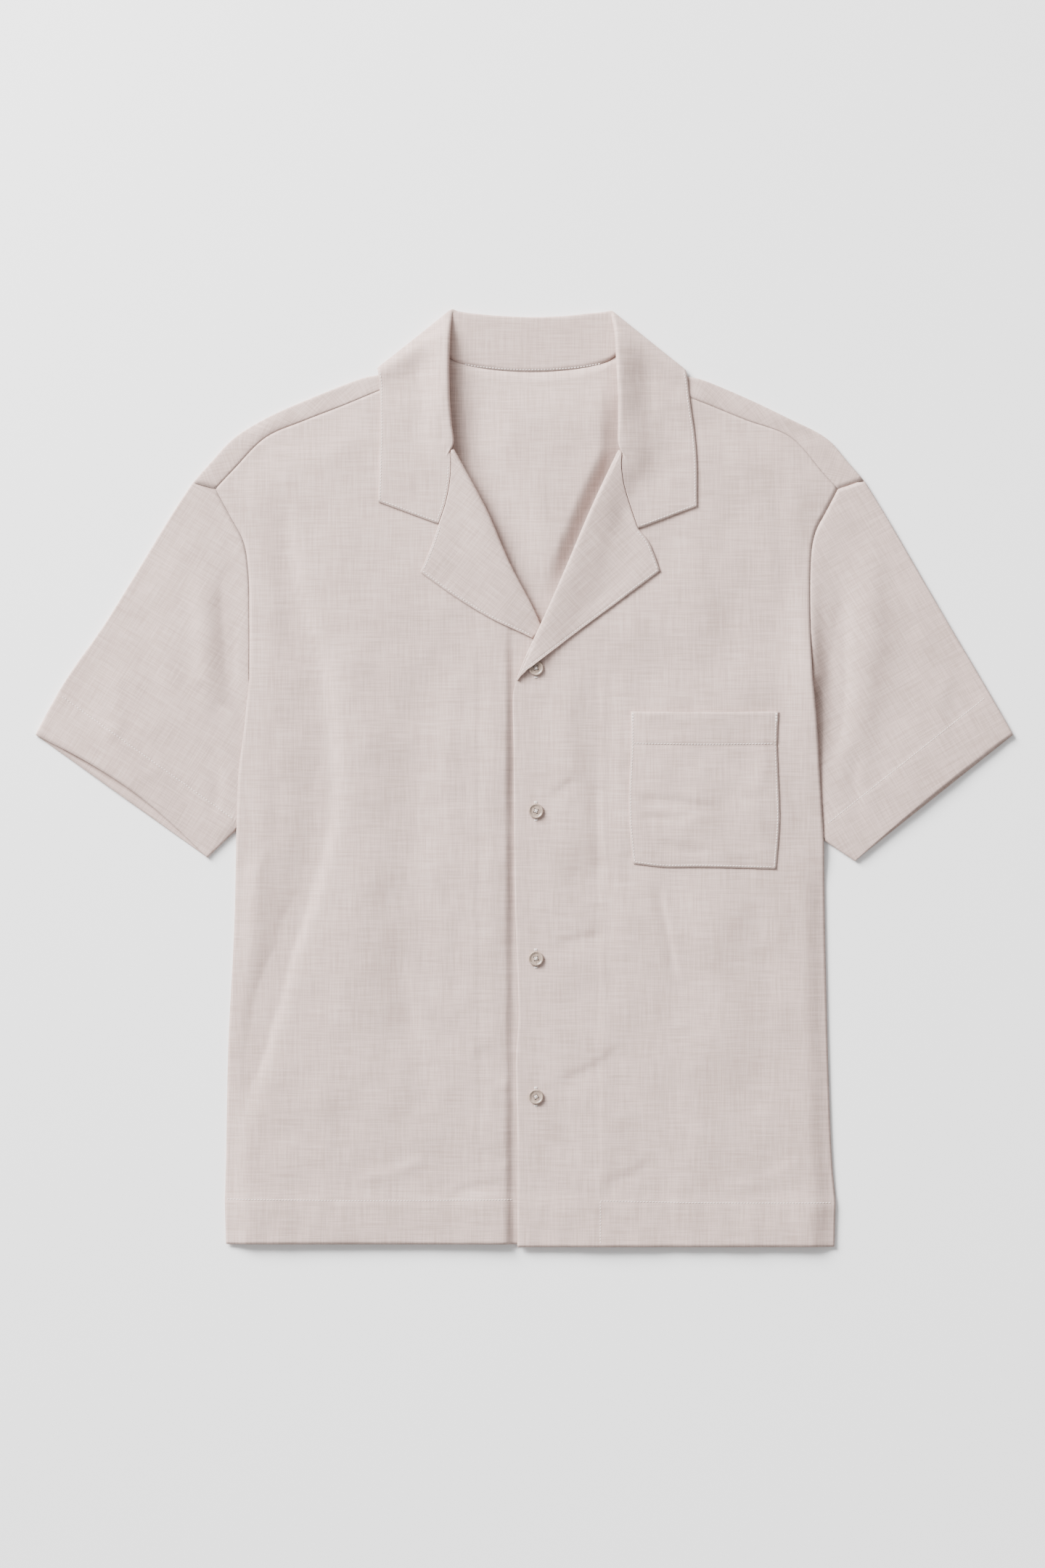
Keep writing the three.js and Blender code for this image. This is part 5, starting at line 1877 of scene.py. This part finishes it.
@dataclass
class Fastening:
    """A four-hole button with a raised rim, its thread, and the worked buttonhole under it."""

    number: int
    at: Grid
    degrees: float
    hand: Seamstress
    radius: float = 6.35
    thick: float = 2.2
    sides: int = 56
    hole_radius: float = 0.8
    hole_offset: float = 1.35
    hole_sides: int = 16
    thread_radius: float = 0.2
    slit: float = 15.5
    slit_count: int = 44
    bar: Plan = ((-1.5, -0.15), (-0.9, 0.25), (0.9, 0.25), (1.5, -0.15))
    bar_count: int = 4
    bar_step: float = 0.36
    smooth_up_to: float = 38.0

    def spin(self) -> Grid:
        """The button's turn about its own axis.

        Returns:
            The matrix, for rows of points.
        """
        turn = math.radians(self.degrees)
        c, s = math.cos(turn), math.sin(turn)
        return np.array([[c, s, 0], [-s, c, 0], [0, 0, 1]])

    def blank(self, name: str) -> bpy.types.Object:
        """The button without its holes, turned from a profile.

        Args:
            name: the button's name.

        Returns:
            The blank, its axis through the origin.
        """
        r, h, sides = self.radius, self.thick, self.sides
        profile = (
            (r - 2.2, 0.1), (r - 0.9, 0.0), (r - 0.3, 0.22), (r, 0.75), (r, 1.35), (r - 0.18, 1.85),
            (r - 0.6, h), (r - 1.1, h - 0.02), (r - 1.5, h - 0.3), (r - 1.9, h - 0.55), (r - 2.7, h - 0.7),
            (r - 3.4, h - 0.66),
        )
        angles = np.linspace(0, 2 * np.pi, sides, endpoint=False)
        rings = [np.stack([p * np.cos(angles), p * np.sin(angles), np.full(sides, q)], 1) for p, q in profile]
        points = np.vstack([[0, 0, 0.25], *rings, [0, 0, h - 0.72]])
        after = [(k + 1) % sides for k in range(sides)]
        faces = [(0, 1 + after[k], 1 + k) for k in range(sides)]
        for a in range(1, 1 + (len(rings) - 1) * sides, sides):
            faces += [(a + k, a + after[k], a + sides + after[k], a + sides + k) for k in range(sides)]
        last, end = 1 + (len(rings) - 1) * sides, len(points) - 1
        faces += [(last + k, last + after[k], end) for k in range(sides)]
        return mesh_piece(name, points, faces)

    def button(self) -> None:
        """The button, drilled and set in its place."""
        obj = self.blank(f"shirt_button_{self.number}")
        drills = [self.drill(obj, i, j) for i in (-1, 1) for j in (-1, 1)]
        bpy.context.view_layer.update()
        drilled = bpy.data.meshes.new_from_object(obj.evaluated_get(bpy.context.evaluated_depsgraph_get()))
        obj.modifiers.clear()
        obj.data = drilled
        for tool in drills:
            bpy.data.objects.remove(tool)
        co = np.array([v.co[:] for v in drilled.vertices])
        drilled.vertices.foreach_set("co", (co @ self.spin() + self.at * METRE).ravel())
        drilled.polygons.foreach_set("use_smooth", np.ones(len(drilled.polygons), bool))
        drilled.update()
        drilled.set_sharp_from_angle(angle=math.radians(self.smooth_up_to))
        drilled.materials.clear()
        dress(obj, BUTTON_FINISH, f"button_{self.number}")

    def drill(self, obj: bpy.types.Object, i: int, j: int) -> bpy.types.Object:
        """Cuts one hole and returns the tool that cuts it.

        Args:
            obj: the button.
            i: the hole's side across, -1 or 1.
            j: its side along, -1 or 1.

        Returns:
            The tool, to be removed once the cut is made.
        """
        n, r = self.hole_sides, self.hole_radius
        angles = np.linspace(0, 2 * np.pi, n, endpoint=False)
        around = np.stack([np.cos(angles), np.sin(angles), np.zeros(n)], 1) * r
        ends = [(i * self.hole_offset, j * self.hole_offset, z) for z in (-2.0, self.thick + 2.0)]
        faces: list[tuple[int, ...]] = [(k, (k + 1) % n, n + (k + 1) % n, n + k) for k in range(n)]
        faces += [tuple(range(n - 1, -1, -1)), tuple(range(n, 2 * n))]
        tool = mesh_piece("drill", np.vstack([around + end for end in ends]), faces)
        cut = obj.modifiers.new("hole", "BOOLEAN")
        cut.operation, cut.object, cut.solver = "DIFFERENCE", tool, "EXACT"
        return tool

    def crossed(self) -> list[Solid]:
        """The thread that crosses twice over the button between its holes.

        Returns:
            The points and faces of each thread.
        """
        o, top, parts = self.hole_offset, self.thick - 0.45, []
        for sign in (1, -1):
            places = ((-1, 0.4), (-0.8, top), (0, top + 0.18 + 0.1 * sign), (0.8, top), (1, 0.4))
            line = curve([(o * share, o * share * sign, z) for share, z in places], 14)
            for shift in (-self.thread_radius, self.thread_radius):
                beside = line + np.array([shift, -shift * sign, 0.0])
                parts.append(tube(beside @ self.spin() + self.at, self.thread_radius))
        return parts

    def buttonhole(self) -> list[Solid]:
        """The stitched sides of the slit in the placket and the bars at its ends.

        Returns:
            The points and faces of each thread.
        """
        x, y, z = self.at[0], self.at[1], self.at[2] - LAID
        half, n, parts = self.slit / 2, self.slit_count, []
        wave = 0.42 + 0.05 * np.sin(np.arange(n) * 2.4)
        for offset in (-0.75, 0.75):
            path = np.stack([np.full(n, x + offset), y + np.linspace(-half, half, n), np.full(n, z)], 1)
            parts.append(tube(path, wave, flatten=0.6))
        for end in (-half, half):
            for k in range(self.bar_count):
                at = y + end + (k - (self.bar_count - 1) / 2) * self.bar_step
                bar = curve([(x + across, at, z + rise) for across, rise in self.bar], 8)
                parts.append(tube(bar, self.thread_radius))
        return parts

    def build(self) -> None:
        """Makes the button and its thread."""
        self.button()
        self.hand.sew(f"buttonhole_{self.number}", self.crossed() + self.buttonhole())


@dataclass
class Sewing:
    """All the stitching that shows on the shirt; edge is how far it runs inside a stitched edge."""

    pieces: dict[str, bpy.types.Object]
    hand: Seamstress
    edge: float = 1.9

    def sew(self, name: str, *rows: tuple) -> None:
        """Sews rows, each given as the piece's key, the line, the inset and whether it is below."""
        self.hand.sew(name, [self.hand.row(self.pieces[key], *row) for key, *row in rows])

    def collar(self) -> None:
        """The stitched edge of the collar's two sides, and the seam at the base of its stand."""
        right, left = COLLAR_SECTIONS[:FIRST_BEHIND_NECK], COLLAR_SECTIONS[-FIRST_BEHIND_NECK:]
        lines = (
            ([c[2][:2] for c in right], -self.edge),
            ([place[:2] for place in right[0][:3]], -self.edge),
            ([c[0][:2] for c in right[3::-1]], -self.edge),
            ([c[2][:2] for c in left], -self.edge),
            ([place[:2] for place in left[-1][2::-1]], -self.edge),
            ([c[0][:2] for c in left[:-5:-1]], self.edge),
        )
        neck = [(-61, 355.5), (-40, 351.8), (-16, 349.6), (8, 349), (42, 350.6), (63, 353.8), (77, 356.6)]
        self.sew("collar_stitching", *(("collar", *line) for line in lines), ("collar", neck))

    def lapels(self) -> None:
        """The stitched edges of both lapels."""
        edges = [(s, line) for s in (RIGHT, LEFT) for line in (s.lapel_top, s.lapel_edge)]
        self.sew("lapel_stitching", *((s.hand.value, line, -s.out * self.edge) for s, line in edges))

    def hems(self) -> None:
        """The body's hem in front and behind, and the square where the facing ends."""
        self.sew(
            "hem_stitching",
            ("right", [(-254, -359.6), (-130, -360.6), (-8, -360)]),
            ("left", [(65, -361), (160, -362.6), (264, -362.6)]),
            ("left", [(65, -361.5), (65, -399)]),
            ("back", [(-254, -358), (0, -358), (264, -358)], 0.0, True),
        )

    def cuffs(self) -> None:
        """The sleeves' hems, above and below."""
        rows = []
        for s in (RIGHT, LEFT):
            way = np.array(s.cuff_under, float) - np.array(s.cuff_top, float)
            up = np.array([-way[1], way[0]]) * -s.out / np.linalg.norm(way)
            up *= math.copysign(1.0, up[1])
            a, b = (np.array(corner) + up * SLEEVE_HEM_DEPTH for corner in (s.cuff_top, s.cuff_under))
            line = [a, (a + b) / 2, b]
            rows += [("sleeve_" + s.hand.value, line, 0.0, below) for below in (False, True)]
        self.sew("cuff_stitching", *rows)

    def pocket(self, pocket: Pocket) -> None:
        """The pocket's edge and band, with bars at its top corners.

        Args:
            pocket: the pocket that is sewn on.
        """
        band = pocket.top[0][1] - POCKET_HEM_DEPTH
        bars = [x + shift for x in (92.6, 215.2) for shift in (-0.5, 0.0, 0.5)]
        self.sew(
            "pocket_stitching",
            ("pocket", pocket.left, -1.7),
            ("pocket", pocket.right, 1.7),
            ("pocket", pocket.bottom, 1.7),
            ("pocket", [(93, band + 0.8), (154, band), (214.5, band + 0.6)]),
            *(("pocket", [(x, 55.6), (x, 47.0)]) for x in bars),
        )

    def build(self, pocket: Pocket) -> None:
        """Sews everything.

        Args:
            pocket: the pocket that is sewn on.
        """
        self.collar()
        self.lapels()
        self.hems()
        self.cuffs()
        self.pocket(pocket)


@dataclass(frozen=True)
class Studio:
    """The pale ground, the soft light and the camera straight above."""

    floor_size: float = 24000.0
    frame_height: float = 1.3392
    centre: tuple[float, float] = (-0.00155, -0.00496)
    lens: float = 150.0
    sensor: float = 36.0
    level: float = 0.004
    sky: float = 0.58

    def floor(self) -> None:
        """The surface that the shirt lies on."""
        corners = np.array([(-1, -1, 0), (1, -1, 0), (1, 1, 0), (-1, 1, 0)]) * self.floor_size / 2
        obj = mesh_piece("floor", corners, [(0, 1, 2, 3)])
        obj.data.materials.append(FLOOR_FINISH.material())

    def lamp(self, name: str, kind: str, place: Sequence[float], power: float, **sizes: float) -> None:
        """A light that faces the shirt.

        Args:
            name: the light's name.
            kind: the light's type.
            place: where it stands; a sun shines evenly from that direction.
            power: its strength.
            sizes: the settings that make it soft.
        """
        data = bpy.data.lights.new(name, kind)
        for key, value in {"energy": power, **sizes}.items():
            setattr(data, key, value)
        obj = placed(bpy.data.objects.new(name, data))
        obj.location = place
        obj.rotation_euler = Vector(place).to_track_quat("Z", "Y").to_euler()

    def light(self) -> None:
        """An even soft light from the top left, a nearer one that favours that side, and an even sky."""
        self.lamp("key", "SUN", (-1.0, 1.0, 0.70), 9.6, angle=math.radians(28.0))
        self.lamp("near", "AREA", (-1.25, 1.35, 1.3), 85.0, size=1.5)
        world = bpy.data.worlds.new("sky")
        world.use_nodes = True
        back = world.node_tree.nodes["Background"]
        back.inputs["Color"].default_value = (1.0, 1.0, 1.0, 1.0)
        back.inputs["Strength"].default_value = self.sky
        bpy.context.scene.world = world

    def camera(self) -> None:
        """A long lens straight above, framed as the photograph is."""
        data = bpy.data.cameras.new("camera")
        data.sensor_fit, data.lens, data.clip_end = "VERTICAL", self.lens, 100.0
        data.sensor_height = data.sensor_width = self.sensor
        obj = placed(bpy.data.objects.new("camera", data))
        obj.location = (*self.centre, self.level + self.frame_height * self.lens / self.sensor)
        bpy.context.scene.camera = obj

    def build(self) -> None:
        """Sets the stage."""
        self.floor()
        self.light()
        self.camera()


def main() -> None:
    """Builds the shirt round the frame, then the stage."""
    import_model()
    right = Front(
        "right_front", "front_right", (0.32, 0.80), 0.1925, ["back_panel", "right_sleeve"],
        RIGHT, RIGHT_FOLDS, LAPEL_FOLDS[Hand.RIGHT], 21,
        [(-41, 119), (-41, 0), (-41, -129), (-40, -356)], 0.6,
    )
    left = Front(
        "left_front", "front_left", (0.32, 0.80), 0.1845, ["back_panel", "left_sleeve", "right_front"],
        LEFT, LEFT_FOLDS, LAPEL_FOLDS[Hand.LEFT], 22, [(65, 110), (65, 32), (65, -180), (65, -358)], 7.8,
    )
    pocket = Pocket("chest_pocket", "pocket", (0.129, 0.135), 0.0171, ["left_front"], left)
    under_collar = ["right_front", "left_front", "back_panel"]
    fronts, sleeve = {Hand.RIGHT: right, Hand.LEFT: left}, ((0.47, 0.25), 0.0685, ["floor"])
    panels = {
        "back": Back("back_panel", "back", (0.573, 0.78), 0.378, ["floor"]),
        "right": right,
        "left": left,
        "collar": Collar("camp_collar", "collar", (0.49, 0.12), 0.0405, under_collar, fronts),
        "sleeve_right": Sleeve("right_sleeve", "sleeve_right", *sleeve, RIGHT, RIGHT_SLEEVE_FOLDS, 51, 0.2),
        "sleeve_left": Sleeve("left_sleeve", "sleeve_left", *sleeve, LEFT, LEFT_SLEEVE_FOLDS, 52, 6.9),
        "pocket": pocket,
    }
    hand = Seamstress()
    Sewing({key: panel.build() for key, panel in panels.items()}, hand).build(pocket)
    for number, (y, degrees) in enumerate(zip(BUTTON_YS, (8.0, -20.0, 12.0, 35.0)), start=1):
        cloth = left.height(np.array([BUTTON_X]), np.array([y]))[0]
        at = np.array([BUTTON_X, y, cloth + FRAME_CLOTH / 2 + LAID])
        Fastening(number, at, degrees, hand).build()
    Studio().build()
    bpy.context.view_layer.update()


if __name__ == "__main__":
    logging.basicConfig(level=logging.INFO, format="%(name)s %(message)s")
    main()
